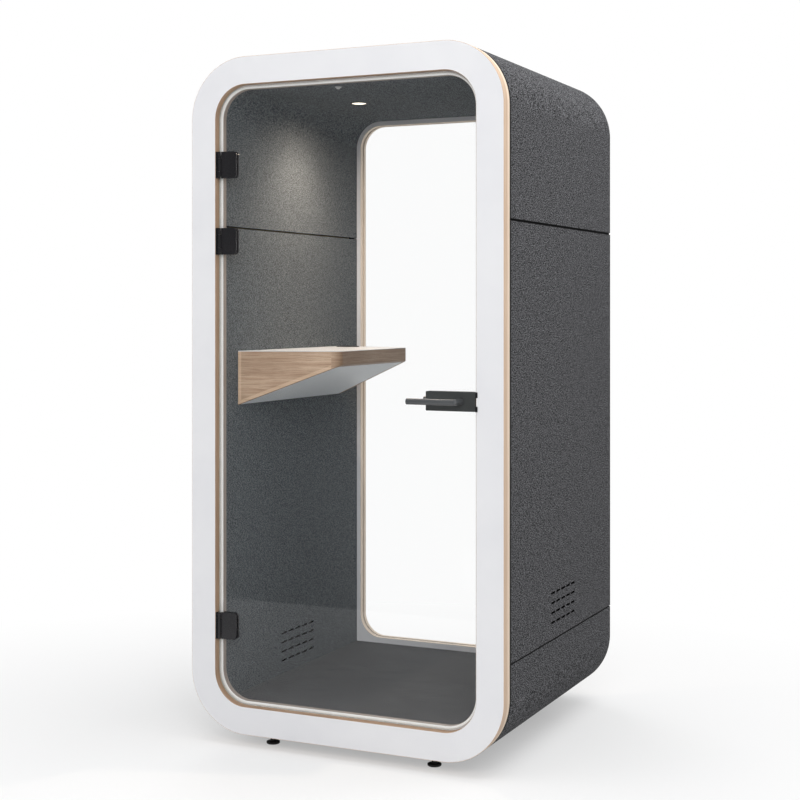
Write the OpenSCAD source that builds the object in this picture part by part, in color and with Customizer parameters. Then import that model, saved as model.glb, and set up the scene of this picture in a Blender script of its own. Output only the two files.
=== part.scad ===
// Acoustic office pod for one standing person.
// s runs across from the left edge, d back from the front face, h up from the frame's underside.

/* [Pod] */
// Width across the front frame
pod_w = 1100; // [1000:10:1400]
// Height of the frame without its feet
frame_h = 2200; // [2100:10:2400]
// Depth from the front face to the rear edge of the cladding
pod_d = 1070; // [1000:10:1400]
// Outer radius of the four corners seen from the front
corner_r = 200; // [160:5:240]
// Height of the frame above the floor
foot_h = 40; // [30:1:60]

/* [Front frame] */
// Thickness of the front ring
ring_t = 30; // [26:1:40]
// Width of the front ring's face
ring_w = 90; // [80:1:110]
// Thickness of the stop ring behind it
stop_t = 18; // [12:1:24]
// How far the stop ring stands into the door opening
stop_lip = 13; // [12:1:20]
// Width of the door seal
seal_w = 8; // [5:0.5:8]
// Thickness of the door seal
seal_t = 3; // [2:0.1:3.2]

/* [Walls] */
// Thickness of the felt-covered outer cladding
skin_t = 12; // [9:1:18]
// Thickness of the felt-covered inner lining
liner_t = 12; // [9:1:18]
// Whole thickness of a wall, cladding to lining
wall_t = 97.5; // [85:0.5:99]
// Height of the lower joint in the cladding
base_h = 304; // [260:1:320]
// Height of the upper joint in the cladding and lining
upper_h = 1652; // [1500:1:1800]
// Width of the upper joint
upper_joint = 6; // [3:0.5:8]
// Width of the lower joint
lower_joint = 3; // [2:0.5:6]
// Width of the joint between lining and ceiling
liner_joint = 3; // [2:0.5:6]
// Depth of a joint before its strip shows
joint_depth = 4; // [2:0.5:8]
// Width of a wall stud or roof batten
stud_w = 40; // [30:1:60]

/* [Floor] */
// Height of the carpet above the frame's underside
floor_h = 96; // [88:1:102]
// Thickness of the floor deck
deck_t = 18; // [15:1:24]
// Thickness of the carpet
carpet_t = 6; // [4:1:8]

/* [Rear window] */
// Margin round the rear opening
rear_margin = 115; // [110:1:140]
// Thickness of the inner rear ring
rear_inner_t = 18; // [12:1:24]
// Thickness of the outer rear ring
rear_outer_t = 26; // [20:1:30]
// How far the outer rear ring lies inside the cladding
rear_recess = 8; // [4:1:12]
// Thickness of the rear glass
rear_glass_t = 8; // [6:1:10]
// Thickness of the glazing tape
tape_t = 2; // [1:0.5:3]
// How far the rear glass goes under the rings
rear_grip = 14; // [10:1:18]

/* [Door] */
// Thickness of the door glass
door_glass_t = 8; // [6:1:8]
// Gap between the door glass and the ring
door_gap = 4; // [3:0.5:5]
// Front face of the glass behind the front face of the ring
door_setback = 18; // [17:0.5:18.5]

/* [Hinges] */
// Height of the lowest hinge's centre
hinge_low_h = 344; // [260:1:600]
// Middle hinge's centre below the top hinge's centre
hinge_step = 250; // [150:1:600]
// Top hinge's centre below the top of the frame
hinge_top_drop = 348; // [270:1:385]
// Height of a hinge
hinge_len = 87; // [70:1:110]
// Width of a clamp plate on the glass
clamp_w = 57; // [45:1:70]
// Thickness of a clamp plate
clamp_t = 6; // [4:0.5:6]
// Corner radius of a clamp plate
clamp_r = 12; // [6:1:18]
// Radius of a hinge knuckle
knuckle_r = 5.5; // [4.5:0.1:5.5]
// Radius of a hinge pin
pin_r = 3; // [2:0.1:3.5]

/* [Lock] */
// Height of the lever's axis
lever_h = 1099; // [950:1:1200]
// Length of the lock case
case_l = 165; // [150:1:200]
// Height of the lock case
case_h = 60; // [50:1:80]
// Thickness of each half of the lock case
case_t = 10; // [8:0.5:12]
// Axis of the lever from the free edge of the glass
backset = 50; // [40:1:60]
// Diameter of the lever bar
lever_d = 19; // [14:0.5:22]
// Length of the lever from its axis
lever_l = 157; // [110:1:165]
// Lever bar's axis from the middle of the glass
lever_reach = 66; // [50:1:75]
// Height of the latch
latch_h = 16; // [12:1:18]
// Thickness of the latch
latch_t = 5; // [4:0.5:5]
// How far the latch reaches into the strike
latch_bite = 1.5; // [1:0.1:1.5]
// Height of the strike plate
strike_h = 60; // [50:1:80]
// Height of the strike's open slot
strike_slot = 26; // [22:1:34]
// Thickness of the strike plate
strike_t = 2; // [1.5:0.1:2.2]

/* [Desk] */
// Height of the desk's top
desk_h = 1240; // [1150:5:1300]
// Front end of the desk at the wall
desk_d = 130; // [110:5:160]
// Rear end of the desk from the rear ring
desk_end_gap = 138; // [100:1:240]
// Reach of the desk from the wall
desk_reach = 330; // [280:5:380]
// How much shorter the user's edge is at each end
desk_taper = 110; // [60:5:140]
// Height of the desk's ends at the wall
desk_end_h = 180; // [150:5:220]
// Depth of the user's edge
desk_edge_t = 47; // [40:1:60]
// Corner radius at the user's edge
desk_corner = 30; // [18:1:40]
// Thickness of the fascias
fascia_t = 15; // [12:1:18]
// Thickness of the white sheet on top
sheet_t = 2; // [1:0.5:4]
// Thickness of the board under the sheet
board_t = 16; // [12:1:19]
// Thickness of the underside panel
under_t = 10; // [8:1:12]
// Radius of the power module's rim
power_r = 42; // [34:1:46]
// Middle of the power module from the wall
power_p = 80; // [60:1:110]
// Middle of the power module from the desk's rear end
power_end = 97; // [92:1:160]

/* [Vents] */
// Slots in a row
slot_cols = 5; // [3:1:5]
// Rows of slots
slot_rows = 4; // [2:1:4]
// Length of a slot
slot_l = 38; // [20:1:38]
// Height of a slot
slot_h = 7; // [4:0.5:7]
// Spacing of the slots along a row
slot_step = 50; // [42:1:50]
// Spacing of the rows of slots
row_step = 32; // [20:1:32]
// Middle of the slots behind the front face
vent_d = 545; // [520:5:600]
// Middle of the outer slots above the underside
vent_out_h = 408; // [400:1:430]
// Middle of the inner slots above the underside
vent_in_h = 188; // [182:1:196]
// Side of a square fan
fan_side = 120; // [110:1:120]
// Thickness of a fan
fan_t = 25; // [20:1:30]
// Blades of a fan
fan_blades = 7; // [5:1:9]

/* [Ceiling fittings] */
// Middle of the downlight from the pod's left edge
light_s = 354; // [300:1:700]
// Middle of the downlight behind the front face
light_d = 523; // [300:1:700]
// Radius of the downlight's lens
light_r = 24.5; // [18:0.5:30]
// Middle of the motion sensor from the pod's left edge
sensor_s = 470; // [300:1:700]
// Middle of the motion sensor behind the front face
sensor_d = 140; // [100:1:200]
// Radius of the sensor's dome
sensor_r = 8; // [6:0.5:10]

/* [Feet] */
// Middle of a foot from the pod's side
foot_in = 262; // [230:1:300]
// Middle of a foot from the front or rear
foot_from_end = 80; // [76:1:120]
// Radius of a foot's pad
pad_r = 22; // [18:1:30]

/* [Hidden] */
$fn = 96;

white = "#f2f1f3";
felt = "#55585a";
lining = "#5f6362";
oak = "#c9a983";
black = "#232424";
steel = "#9a9da0";
wool = "#b9a36a";

// Overrun of a cut, gap between seated pieces, and running gap of a pin in its hole
over = 1;
seat_gap = 0.25;
run_gap = 0.05;

half_w = pod_w / 2;
left = -half_w;
hinge_top_h = frame_h - hinge_top_drop;
hinge_hs = [hinge_low_h, hinge_top_h - hinge_step, hinge_top_h];
front_len = ring_t + stop_t;
stop_in = ring_w + stop_lip;
lever_out = lever_reach - door_glass_t / 2 - door_setback;
front_y = (lever_out + lever_d / 2 - pod_d) / 2;
cavity = wall_t - liner_t - skin_t;
liner_out = wall_t - liner_t;
rear_out_d = pod_d - rear_recess - rear_outer_t;
rear_in_d = rear_out_d - rear_inner_t;
room_len = rear_in_d - front_len;
bay_d = front_len + stud_w + seat_gap;
bay_len = room_len - 2 * (stud_w + seat_gap);
deck_h = floor_h - carpet_t;

// Everything moves from the front face and the frame's underside to the row's own origin
module place() {
    translate([0, front_y, foot_h]) children();
}

// The front view's rounded outline, drawn in by an inset
module outline(inset) {
    w = pod_w - 2 * inset;
    h = frame_h - 2 * inset;
    r = corner_r - inset;
    translate([-w / 2, inset]) {
        translate([r, 0]) square([w - 2 * r, h]);
        translate([0, r]) square([w, h - 2 * r]);
        for (x = [r, w - r], y = [r, h - r]) translate([x, y]) circle(r);
    }
}

// A drawing of the front view, standing up from d to d + t
module standing(d, t) {
    translate([0, d + t, 0]) rotate([90, 0, 0]) linear_extrude(t) children();
}

module ring(d, t, outer, inner) {
    standing(d, t) difference() {
        outline(outer);
        outline(inner);
    }
}

// Part of a ring between two heights
module bent(outer, inner, low, high) {
    difference() {
        intersection() {
            outline(outer);
            translate([left, low]) square([pod_w, high - low]);
        }
        outline(inner);
    }
}

// A box whose corner is s, d, h, counted from the left side, or from the right with side = 1
module wall_box(side, from, size) {
    mirror([side, 0, 0]) translate([left + from[0], from[1], from[2]]) cube(size);
}

// Rows of round-ended slots that cut through a wall from inset a for a length t
module slots(side, a, t, mid_h) {
    r = slot_h / 2;
    run = slot_l / 2 - r;
    for (i = [0:slot_cols - 1], j = [0:slot_rows - 1]) {
        d = vent_d + (i - (slot_cols - 1) / 2) * slot_step;
        h = mid_h + (j - (slot_rows - 1) / 2) * row_step;
        wall_box(side, [a - over, d - run, h - r], [t + 2 * over, 2 * run, 2 * r]);
        for (e = [-run, run]) mirror([side, 0, 0])
            translate([left + a - over, d + e, h]) rotate([0, 90, 0]) cylinder(r = r, h = t + 2 * over);
    }
}

// A cylinder along d, from d to d + t
module rod(x, d, h, r, t) {
    translate([x, d + t, h]) rotate([90, 0, 0]) cylinder(r = r, h = t);
}

module front_ring() {
    color(white) place() ring(0, ring_t, 0, ring_w);
}

module stop_ring() {
    color(oak) place() ring(ring_t, stop_t, 0, stop_in);
}

module door_seal() {
    inset = ring_w + door_gap;
    color(white) place() ring(ring_t - seal_t, seal_t, inset, inset + seal_w);
}

module rear_inner_ring() {
    color(white) place() ring(rear_in_d, rear_inner_t, skin_t + seat_gap, rear_margin);
}

// The outer ring has a rebate for the glass and its tape
module rear_outer_ring() {
    color(white) place() difference() {
        ring(rear_out_d, rear_outer_t, skin_t + seat_gap, rear_margin);
        standing(rear_out_d - over, tape_t + rear_glass_t + seat_gap + over)
            outline(rear_margin - rear_grip - over);
        inlet_pocket();
    }
}

module rear_glass() {
    color("lightblue", 0.4) place()
        standing(rear_out_d + tape_t, rear_glass_t) outline(rear_margin - rear_grip);
}

module glazing_tape() {
    color(black) place() ring(rear_out_d, tape_t, rear_margin - rear_grip, rear_margin - tape_t);
}

module foot_places() {
    for (x = [left + foot_in, half_w - foot_in], d = [foot_from_end, pod_d - foot_from_end])
        translate([x, d, 0]) children();
}

module base_cladding() {
    color(felt) place() difference() {
        standing(front_len, pod_d - front_len) bent(0, skin_t, 0, base_h - lower_joint / 2);
        foot_places() translate([0, 0, -over]) cylinder(r = stud_r + stud_gap, h = skin_t + 2 * over);
    }
}

module side_cladding(side) {
    low = base_h + lower_joint / 2;
    difference() {
        wall_box(side, [0, front_len, low], [skin_t, pod_d - front_len, upper_h - upper_joint / 2 - low]);
        slots(side, 0, skin_t, vent_out_h);
    }
}

module left_cladding() {
    color(felt) place() side_cladding(0);
}

module right_cladding() {
    color(felt) place() side_cladding(1);
}

module top_cladding() {
    color(felt) place()
        standing(front_len, pod_d - front_len) bent(0, skin_t, upper_h + upper_joint / 2, frame_h);
}

// Recessed strips that close the joints of the cladding
module joint_strips() {
    color(black) place() for (side = [0, 1], j = [[upper_h, upper_joint], [base_h, lower_joint]])
        wall_box(side, [joint_depth, front_len, j[0] - j[1] / 2],
            [skin_t - joint_depth, pod_d - front_len, j[1]]);
}

module side_lining(side) {
    difference() {
        wall_box(side, [liner_out, front_len, deck_h], [liner_t, room_len, upper_h - liner_joint / 2 - deck_h]);
        slots(side, liner_out, liner_t, vent_in_h);
    }
}

module left_lining() {
    color(lining) place() side_lining(0);
}

module right_lining() {
    color(lining) place() side_lining(1);
}

// The lining's top part: ceiling, coves and the walls down to the joint
module ceiling_lining() {
    color(lining) place() difference() {
        standing(front_len, room_len) bent(liner_out, wall_t, upper_h + liner_joint / 2, frame_h);
        light_place() translate([0, 0, -over]) cylinder(r = light_neck_r + seat_gap, h = liner_t + 2 * over);
    }
}

module floor_deck() {
    color(oak) place() wall_box(0, [liner_out, front_len, deck_h - deck_t],
        [pod_w - 2 * liner_out, room_len, deck_t]);
}

module carpet() {
    color(black) place() wall_box(0, [wall_t, front_len, deck_h], [pod_w - 2 * wall_t, room_len, carpet_t]);
}

// Joists stand on the base and carry the deck, and the feet screw into the outer two
module floor_joists() {
    joist_h = deck_h - deck_t - skin_t;
    color(steel) place() difference() {
        for (d = [foot_from_end, pod_d / 2, pod_d - foot_from_end])
            wall_box(0, [corner_r, d - stud_w / 2, skin_t], [pod_w - 2 * corner_r, stud_w, joist_h]);
        foot_places() translate([0, 0, skin_t - over]) cylinder(r = stud_r + run_gap, h = stud_in + 2 * over);
    }
}

module wall_studs() {
    color(black) place() for (side = [0, 1], d = [front_len, rear_in_d - stud_w])
        wall_box(side, [skin_t, d, corner_r], [cavity, stud_w, frame_h - 2 * corner_r]);
}

module roof_battens() {
    color(black) place() for (d = [front_len, rear_in_d - stud_w])
        wall_box(0, [corner_r, d, frame_h - liner_out], [pod_w - 2 * corner_r, stud_w, cavity]);
}

module side_insulation(side) {
    difference() {
        wall_box(side, [skin_t + seat_gap, bay_d, corner_r],
            [cavity - 2 * seat_gap, bay_len, frame_h - 2 * corner_r]);
        duct_block(side, 0, over);
    }
}

module left_insulation() {
    color(wool) place() side_insulation(0);
}

module right_insulation() {
    color(wool) place() side_insulation(1);
}

module roof_insulation() {
    color(wool) place() difference() {
        wall_box(0, [corner_r, bay_d, frame_h - liner_out + seat_gap],
            [pod_w - 2 * corner_r, bay_len, cavity - 2 * seat_gap]);
        light_place() cylinder(r = light_neck_r + over, h = liner_t + light_body_h + over);
    }
}

// Air path in a wall: full depth behind the outer slots, drawn in above the base's curve
duct_wall = 3;
duct_side = 5;
fan_apart = 1;
fan_step = fan_side + fan_apart;
duct_len = fan_step + fan_side + 2 * (duct_side + duct_wall);
duct_top_h = vent_out_h + fan_side / 2 + duct_side + duct_wall;
duct_bend_h = vent_out_h - fan_side / 2 - duct_side - duct_wall;
duct_foot_h = vent_in_h - fan_side / 2 - duct_side - duct_wall;
duct_foot_in = (skin_t + liner_out) / 2;

// The duct's outline in s and h, drawn in by g, or out with g below 0, swept along d
module duct_block(side, g, out) {
    mirror([side, 0, 0]) standing(vent_d - duct_len / 2 + g - out, duct_len - 2 * g + 2 * out)
        translate([left, 0]) polygon([
            [skin_t + g - out, duct_top_h - g + out],
            [skin_t + g - out, duct_bend_h],
            [duct_foot_in + g - out, duct_foot_h + g - out],
            [liner_out - g + out, duct_foot_h + g - out],
            [liner_out - g + out, duct_top_h - g + out]
        ]);
}

module wall_duct(side) {
    window_l = (slot_cols - 1) * slot_step + slot_l + slot_h;
    window_h = (slot_rows - 1) * row_step + 2 * slot_h;
    difference() {
        duct_block(side, 0, 0);
        duct_block(side, duct_wall, 0);
        wall_box(side, [skin_t - over, vent_d - window_l / 2, vent_out_h - window_h / 2],
            [duct_wall + 2 * over, window_l, window_h]);
        wall_box(side, [liner_out - duct_wall - over, vent_d - window_l / 2, vent_in_h - window_h / 2],
            [duct_wall + 2 * over, window_l, window_h]);
    }
}

module left_duct() {
    color(steel) place() wall_duct(0);
}

module right_duct() {
    color(steel) place() wall_duct(1);
}

fan_tip_gap = 1.5;
fan_rim = 2;
fan_bore_r = fan_side / 2 - fan_rim;
fan_hub_r = 20;
fan_shaft_r = 2;
fan_back_t = 4;
fan_float = 1;
fan_spoke_w = 5;
blade_t = 2;
blade_pitch = 35;

// A fan's own frame: axis along x, outer face at x = 0 and inward negative
module fan_place(k) {
    translate([half_w - skin_t - duct_wall, vent_d + k * fan_step / 2, vent_out_h])
        rotate([0, -90, 0]) children();
}

module fan_frames() {
    color(black) place() for (k = [-1, 1]) fan_place(k) {
        difference() {
            translate([-fan_side / 2, -fan_side / 2, 0]) cube([fan_side, fan_side, fan_t]);
            translate([0, 0, -over]) cylinder(r = fan_bore_r, h = fan_t + 2 * over);
        }
        translate([0, 0, fan_t - fan_back_t - fan_float]) {
            cylinder(r = fan_hub_r, h = fan_back_t);
            for (a = [0:2]) rotate(45 + a * 120) translate([fan_hub_r / 2, -fan_spoke_w / 2, fan_float])
                cube([fan_bore_r - fan_hub_r / 2 + fan_rim, fan_spoke_w, fan_back_t - 2 * fan_float]);
        }
        translate([0, 0, fan_t / 3]) cylinder(r = fan_shaft_r, h = fan_t * 2 / 3 - fan_back_t / 2 - fan_float);
    }
}

module fan_rotor(k) {
    rotor_t = fan_t - fan_back_t - 3 * fan_float;
    fan_place(k) translate([0, 0, fan_float]) difference() {
        union() {
            cylinder(r = fan_hub_r, h = rotor_t);
            intersection() {
                cylinder(r = fan_bore_r - fan_tip_gap, h = rotor_t);
                for (i = [1:fan_blades]) rotate(i * 360 / fan_blades)
                    translate([fan_hub_r / 2, 0, rotor_t / 2]) rotate([blade_pitch, 0, 0])
                        translate([0, -fan_t, -blade_t / 2]) cube([fan_bore_r, 2 * fan_t, blade_t]);
            }
        }
        translate([0, 0, fan_t / 3 - 2 * fan_float]) cylinder(r = fan_shaft_r + run_gap, h = fan_t);
    }
}

module front_fan_rotor() {
    color(black) place() fan_rotor(-1);
}

module rear_fan_rotor() {
    color(black) place() fan_rotor(1);
}

// Door glass, hinges and lock
glass_back = door_setback + door_glass_t;
glass_left = left + ring_w + door_gap;
glass_right = half_w - ring_w - door_gap;
leaf_t = 3;
leaf_edge = 1;
knuckle_gap = 0.5;
knuckle_back = 3.5;
knuckle_share = 0.5;
axis_x = left + ring_w + leaf_t + knuckle_r + knuckle_gap;
axis_d = door_setback - knuckle_r - knuckle_back;
plate_x = axis_x + knuckle_r;
rear_plate_x = plate_x + leaf_t;
screw_r = 3;
screw_hole_r = 5;
screw_head_r = 5.5;
screw_head_t = 3;
screw_spread_share = 0.55;
lever_x = glass_right - backset;
case_edge = 1;
case_x = glass_right - case_edge - case_l;
core_h_share = 0.7;
core_h = case_h * core_h_share;
core_len = backset + case_h / 2;
rear_case_gap = 3;
rear_case_l = half_w - stop_in - rear_case_gap - case_x;
spindle_w = 8;
hub_share = 0.72;
hub_r = spindle_w * hub_share;
case_r = 3;
latch_gap = 0.2;
latch_rail = 2;

module screw_places() {
    for (z = hinge_hs, k = [-1, 1])
        translate([plate_x + clamp_w / 2, 0, z + k * hinge_len * screw_spread_share / 2]) children();
}

module lock_screw_places() {
    translate([case_x + 2 * screw_head_r, 0, lever_h]) children();
    translate([case_x + core_len, 0, lever_h]) children();
}

module door_glass() {
    color("lightblue", 0.3) place() difference() {
        standing(door_setback, door_glass_t) outline(ring_w + door_gap);
        screw_places() rod(0, door_setback - over, 0, screw_hole_r, door_glass_t + 2 * over);
        lock_screw_places() rod(0, door_setback - over, 0, screw_hole_r, door_glass_t + 2 * over);
        translate([glass_right - core_len, door_setback - over, lever_h - core_h / 2])
            cube([core_len + over, door_glass_t + 2 * over, core_h]);
    }
}

// The frame's leaf lies on the ring's inner edge and holds the two end knuckles
module hinge_frame_leaves() {
    end_len = hinge_len * (1 - knuckle_share) / 2;
    color(black) place() for (z = hinge_hs) difference() {
        union() {
            translate([left + ring_w, leaf_edge, z - hinge_len / 2])
                cube([leaf_t, ring_t - seal_t - 2 * leaf_edge, hinge_len]);
            for (low = [z - hinge_len / 2, z + hinge_len / 2 - end_len]) {
                translate([axis_x, axis_d, low]) cylinder(r = knuckle_r, h = end_len);
                translate([left + ring_w, axis_d - knuckle_r / 2, low])
                    cube([leaf_t + knuckle_gap + knuckle_r / 2, knuckle_r, end_len]);
            }
        }
        translate([axis_x, axis_d, z - hinge_len / 2 - over]) cylinder(r = pin_r, h = hinge_len + 2 * over);
    }
}

module hinge_pins() {
    color(steel) place() for (z = hinge_hs)
        translate([axis_x, axis_d, z - hinge_len / 2]) cylinder(r = pin_r, h = hinge_len);
}

// A clamp plate with round corners at its free end, from d to d + t
module clamp_plate(x, d, w, z) {
    translate([0, d + clamp_t, 0]) rotate([90, 0, 0]) linear_extrude(clamp_t) {
        translate([x, z - hinge_len / 2]) square([w - clamp_r, hinge_len]);
        translate([x, z - hinge_len / 2 + clamp_r]) square([w, hinge_len - 2 * clamp_r]);
        for (k = [-1, 1]) translate([x + w - clamp_r, z + k * (hinge_len / 2 - clamp_r)]) circle(clamp_r);
    }
}

// The front plate carries the middle knuckle
module hinge_front_plates() {
    mid_len = hinge_len * knuckle_share - 2 * knuckle_gap;
    color(black) place() for (z = hinge_hs) difference() {
        union() {
            clamp_plate(plate_x, door_setback - clamp_t, clamp_w, z);
            translate([axis_x, axis_d, z - mid_len / 2]) cylinder(r = knuckle_r, h = mid_len);
            translate([axis_x, axis_d, z - mid_len / 2])
                cube([plate_x - axis_x + leaf_edge, door_setback - axis_d - knuckle_back / 2, mid_len]);
        }
        translate([axis_x, axis_d, z - hinge_len]) cylinder(r = pin_r + run_gap, h = 2 * hinge_len);
        for (k = [-1, 1]) rod(plate_x + clamp_w / 2, door_setback - clamp_t / 2,
            z + k * hinge_len * screw_spread_share / 2, screw_r, clamp_t);
    }
}

module hinge_rear_plates() {
    color(black) place() difference() {
        for (z = hinge_hs) clamp_plate(rear_plate_x, glass_back, clamp_w - leaf_t, z);
        screw_places() clamp_screw(glass_back + clamp_t, run_gap, over);
    }
}

// A screw whose head is flush with d = face and whose tip reaches the front half
module clamp_screw(face, gap, more) {
    rod(0, face - screw_head_t, 0, screw_head_r + gap, screw_head_t + more);
    rod(0, door_setback - clamp_t / 2, 0, screw_r + gap, face - door_setback + clamp_t / 2);
}

module clamp_screws() {
    color(steel) place() {
        screw_places() clamp_screw(glass_back + clamp_t, 0, 0);
        lock_screw_places() clamp_screw(glass_back + case_t, 0, 0);
    }
}

// Half of the lock case, with round upright edges
module lock_half(d, l) {
    translate([case_x, d + case_t, lever_h - case_h / 2]) rotate([90, 0, 0]) linear_extrude(case_t) {
        translate([case_r, 0]) square([l - 2 * case_r, case_h]);
        translate([0, case_r]) square([l, case_h - 2 * case_r]);
        for (x = [case_r, l - case_r], y = [case_r, case_h - case_r]) translate([x, y]) circle(case_r);
    }
}

module lock_front_case() {
    color(black) place() difference() {
        lock_half(door_setback - case_t, case_l);
        rod(lever_x, 0, lever_h, lever_d / 2 + seat_gap, door_setback + over);
        lock_screw_places() rod(0, door_setback - clamp_t / 2, 0, screw_r, clamp_t);
    }
}

module lock_rear_case() {
    color(black) place() difference() {
        lock_half(glass_back, rear_case_l);
        rod(lever_x, glass_back - over, lever_h, lever_d / 2 + seat_gap, case_t + 2 * over);
        lock_screw_places() clamp_screw(glass_back + case_t, run_gap, over);
    }
}

// The latch bar: its tip stands in the strike, and its window passes the spindle's hub
latch_tip = half_w - ring_w - strike_t + latch_bite;
latch_travel = latch_tip - glass_right + seat_gap;
latch_tail = lever_x - 2 * hub_r;
spring_len = 14;
spring_r = 2.2;
spring_wall = 0.8;

module latch_space(gap, more) {
    translate([latch_tail - more, door_setback + (door_glass_t - latch_t) / 2 - gap, lever_h - latch_h / 2 - gap])
        cube([latch_tip - latch_tail + 2 * more, latch_t + 2 * gap, latch_h + 2 * gap]);
}

module lock_core() {
    color(steel) place() difference() {
        translate([glass_right - core_len + seat_gap, door_setback + seat_gap, lever_h - core_h / 2 + seat_gap])
            cube([core_len - seat_gap, door_glass_t - 2 * seat_gap, core_h - 2 * seat_gap]);
        latch_space(latch_gap, spring_len);
        rod(lever_x, door_setback - over, lever_h, hub_r + latch_gap, door_glass_t + 2 * over);
        lock_screw_places() rod(0, door_setback - over, 0, screw_r + seat_gap, door_glass_t + 2 * over);
    }
}

module latch_bolt() {
    window = 2 * hub_r + latch_travel + 2 * latch_gap;
    color(steel) place() difference() {
        latch_space(0, 0);
        translate([lever_x - hub_r - latch_gap, door_setback, lever_h - latch_h / 2 + latch_rail])
            cube([window, door_glass_t, latch_h - 2 * latch_rail]);
    }
}

module latch_spring() {
    color(steel) place() translate([latch_tail - spring_len + latch_gap, door_setback + door_glass_t / 2, lever_h])
        rotate([0, 90, 0]) difference() {
            cylinder(r = spring_r, h = spring_len - 2 * latch_gap);
            translate([0, 0, -over]) cylinder(r = spring_r - spring_wall, h = spring_len + 2 * over);
        }
}

// A lever: a neck on the spindle's axis, an elbow and a bar that points left
module lever(dir) {
    mid = door_setback + door_glass_t / 2;
    bar_d = mid + dir * lever_reach;
    start = door_glass_t / 2 + latch_gap;
    near = dir < 0 ? bar_d : mid + start;
    far = dir < 0 ? mid - start : bar_d;
    difference() {
        union() {
            rod(lever_x, near, lever_h, lever_d / 2, far - near);
            translate([lever_x, bar_d, lever_h]) sphere(lever_d / 2);
            translate([lever_x - lever_l, bar_d, lever_h]) rotate([0, 90, 0])
                cylinder(r = lever_d / 2, h = lever_l);
        }
        translate([lever_x - spindle_w / 2, mid - spindle_w * 3, lever_h - spindle_w / 2])
            cube([spindle_w, spindle_w * 6, spindle_w]);
    }
}

module outer_lever() {
    color(black) place() lever(-1);
}

module inner_lever() {
    color(black) place() lever(1);
}

module lever_spindle() {
    mid = door_setback + door_glass_t / 2;
    color(steel) place() {
        translate([lever_x - spindle_w / 2, mid - spindle_w * 3, lever_h - spindle_w / 2])
            cube([spindle_w, spindle_w * 6, spindle_w]);
        rod(lever_x, door_setback, lever_h, hub_r, door_glass_t);
    }
}

strike_lip = 5;
strike_lip_t = 1.5;

// The strike lines the ring's edge, and its slot is open to the front for the latch
module strike_plate() {
    x = half_w - ring_w - strike_t;
    color(black) place() difference() {
        translate([x, -strike_lip_t, lever_h - strike_h / 2]) {
            cube([strike_t, strike_lip_t + ring_t - seat_gap, strike_h]);
            cube([strike_t + strike_lip, strike_lip_t, strike_h]);
        }
        translate([x - over, -strike_lip_t - over, lever_h - strike_slot / 2])
            cube([strike_t + strike_lip + 2 * over, strike_lip_t + glass_back + 2 * over, strike_slot]);
    }
}

// Desk: p runs out from the lining
desk_x = left + wall_t;
slope = desk_taper / desk_reach;
slant = sqrt(1 + slope * slope);
desk_l = rear_in_d - desk_end_gap - desk_d;
desk_mid = desk_d + desk_l / 2;
arc_steps = 10;
desk_split = desk_reach - desk_corner;

// The desk's plan, drawn in by an inset: straight at the wall, round at the user's corners
function desk_arc(inset, side) =
    let (r = desk_corner - inset)
    let (p = desk_reach - inset - r)
    let (half = desk_l / 2 - p * slope - inset * slant - r * slant)
    [for (i = [0:arc_steps]) let (a = (i / arc_steps - 1) * (90 - atan(slope)))
        [p + r * cos(a), side * (half - r * sin(a))]];
function reversed(list) = [for (i = [len(list) - 1:-1:0]) list[i]];
function desk_plan(inset) = concat(
    [[0, -desk_l / 2 + inset * slant]], desk_arc(inset, -1),
    reversed(desk_arc(inset, 1)), [[0, desk_l / 2 - inset * slant]]);

module desk_prism(inset, low, high) {
    translate([desk_x, desk_mid, low]) linear_extrude(high - low) polygon(desk_plan(inset));
}

// The desk's side view between its slanted underside, raised by lift, and a top height
module desk_wedge(lift, top) {
    standing(desk_d, desk_l) translate([desk_x, 0]) polygon([
        [0, desk_h - desk_end_h + lift],
        [desk_reach, desk_h - desk_edge_t + lift],
        [desk_reach, top],
        [0, top]
    ]);
}

module fascia(from_p, to_p, from_d, to_d) {
    low = desk_h - desk_end_h;
    intersection() {
        desk_wedge(0, desk_h - sheet_t);
        difference() {
            desk_prism(0, low, desk_h);
            desk_prism(fascia_t, low - over, desk_h + over);
        }
        translate([desk_x + from_p, from_d, low]) cube([to_p - from_p, to_d - from_d, desk_end_h]);
    }
}

module desk_front_end() {
    color(oak) place() fascia(0, desk_split, desk_d, desk_mid);
}

module desk_rear_end() {
    color(oak) place() fascia(0, desk_split, desk_mid, desk_d + desk_l);
}

module desk_edge() {
    color(oak) place() fascia(desk_split, desk_reach, desk_d, desk_d + desk_l);
}

// The round power module stands near the wall at the desk's rear end
power_deep = 38;
power_proud = 3;
power_rim = 4;
socket_r = 20;
socket_deep = 15;

module power_place() {
    translate([desk_x + power_p, desk_d + desk_l - power_end, desk_h]) children();
}

module power_cut() {
    power_place() translate([0, 0, -power_deep]) cylinder(r = power_r - power_rim + seat_gap, h = power_deep + over);
}

// The sheet clears the power module's rim, which rests on the board
module desk_top_sheet() {
    color(white) place() difference() {
        desk_prism(0, desk_h - sheet_t, desk_h);
        power_place() translate([0, 0, -sheet_t - over]) cylinder(r = power_r + seat_gap, h = sheet_t + 2 * over);
    }
}

module desk_board() {
    color(oak) place() difference() {
        desk_prism(fascia_t + seat_gap, desk_h - sheet_t - board_t, desk_h - sheet_t);
        power_cut();
    }
}

module desk_underside() {
    color(white) place() intersection() {
        difference() {
            desk_wedge(0, desk_h);
            desk_wedge(under_t, desk_h + over);
        }
        desk_prism(fascia_t + seat_gap, desk_h - desk_end_h, desk_h);
    }
}

bracket_t = 4;
bracket_w = 30;
bracket_h_share = 0.55;
bracket_reach_share = 0.6;
bracket_share = [0.3, 0.62];

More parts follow.
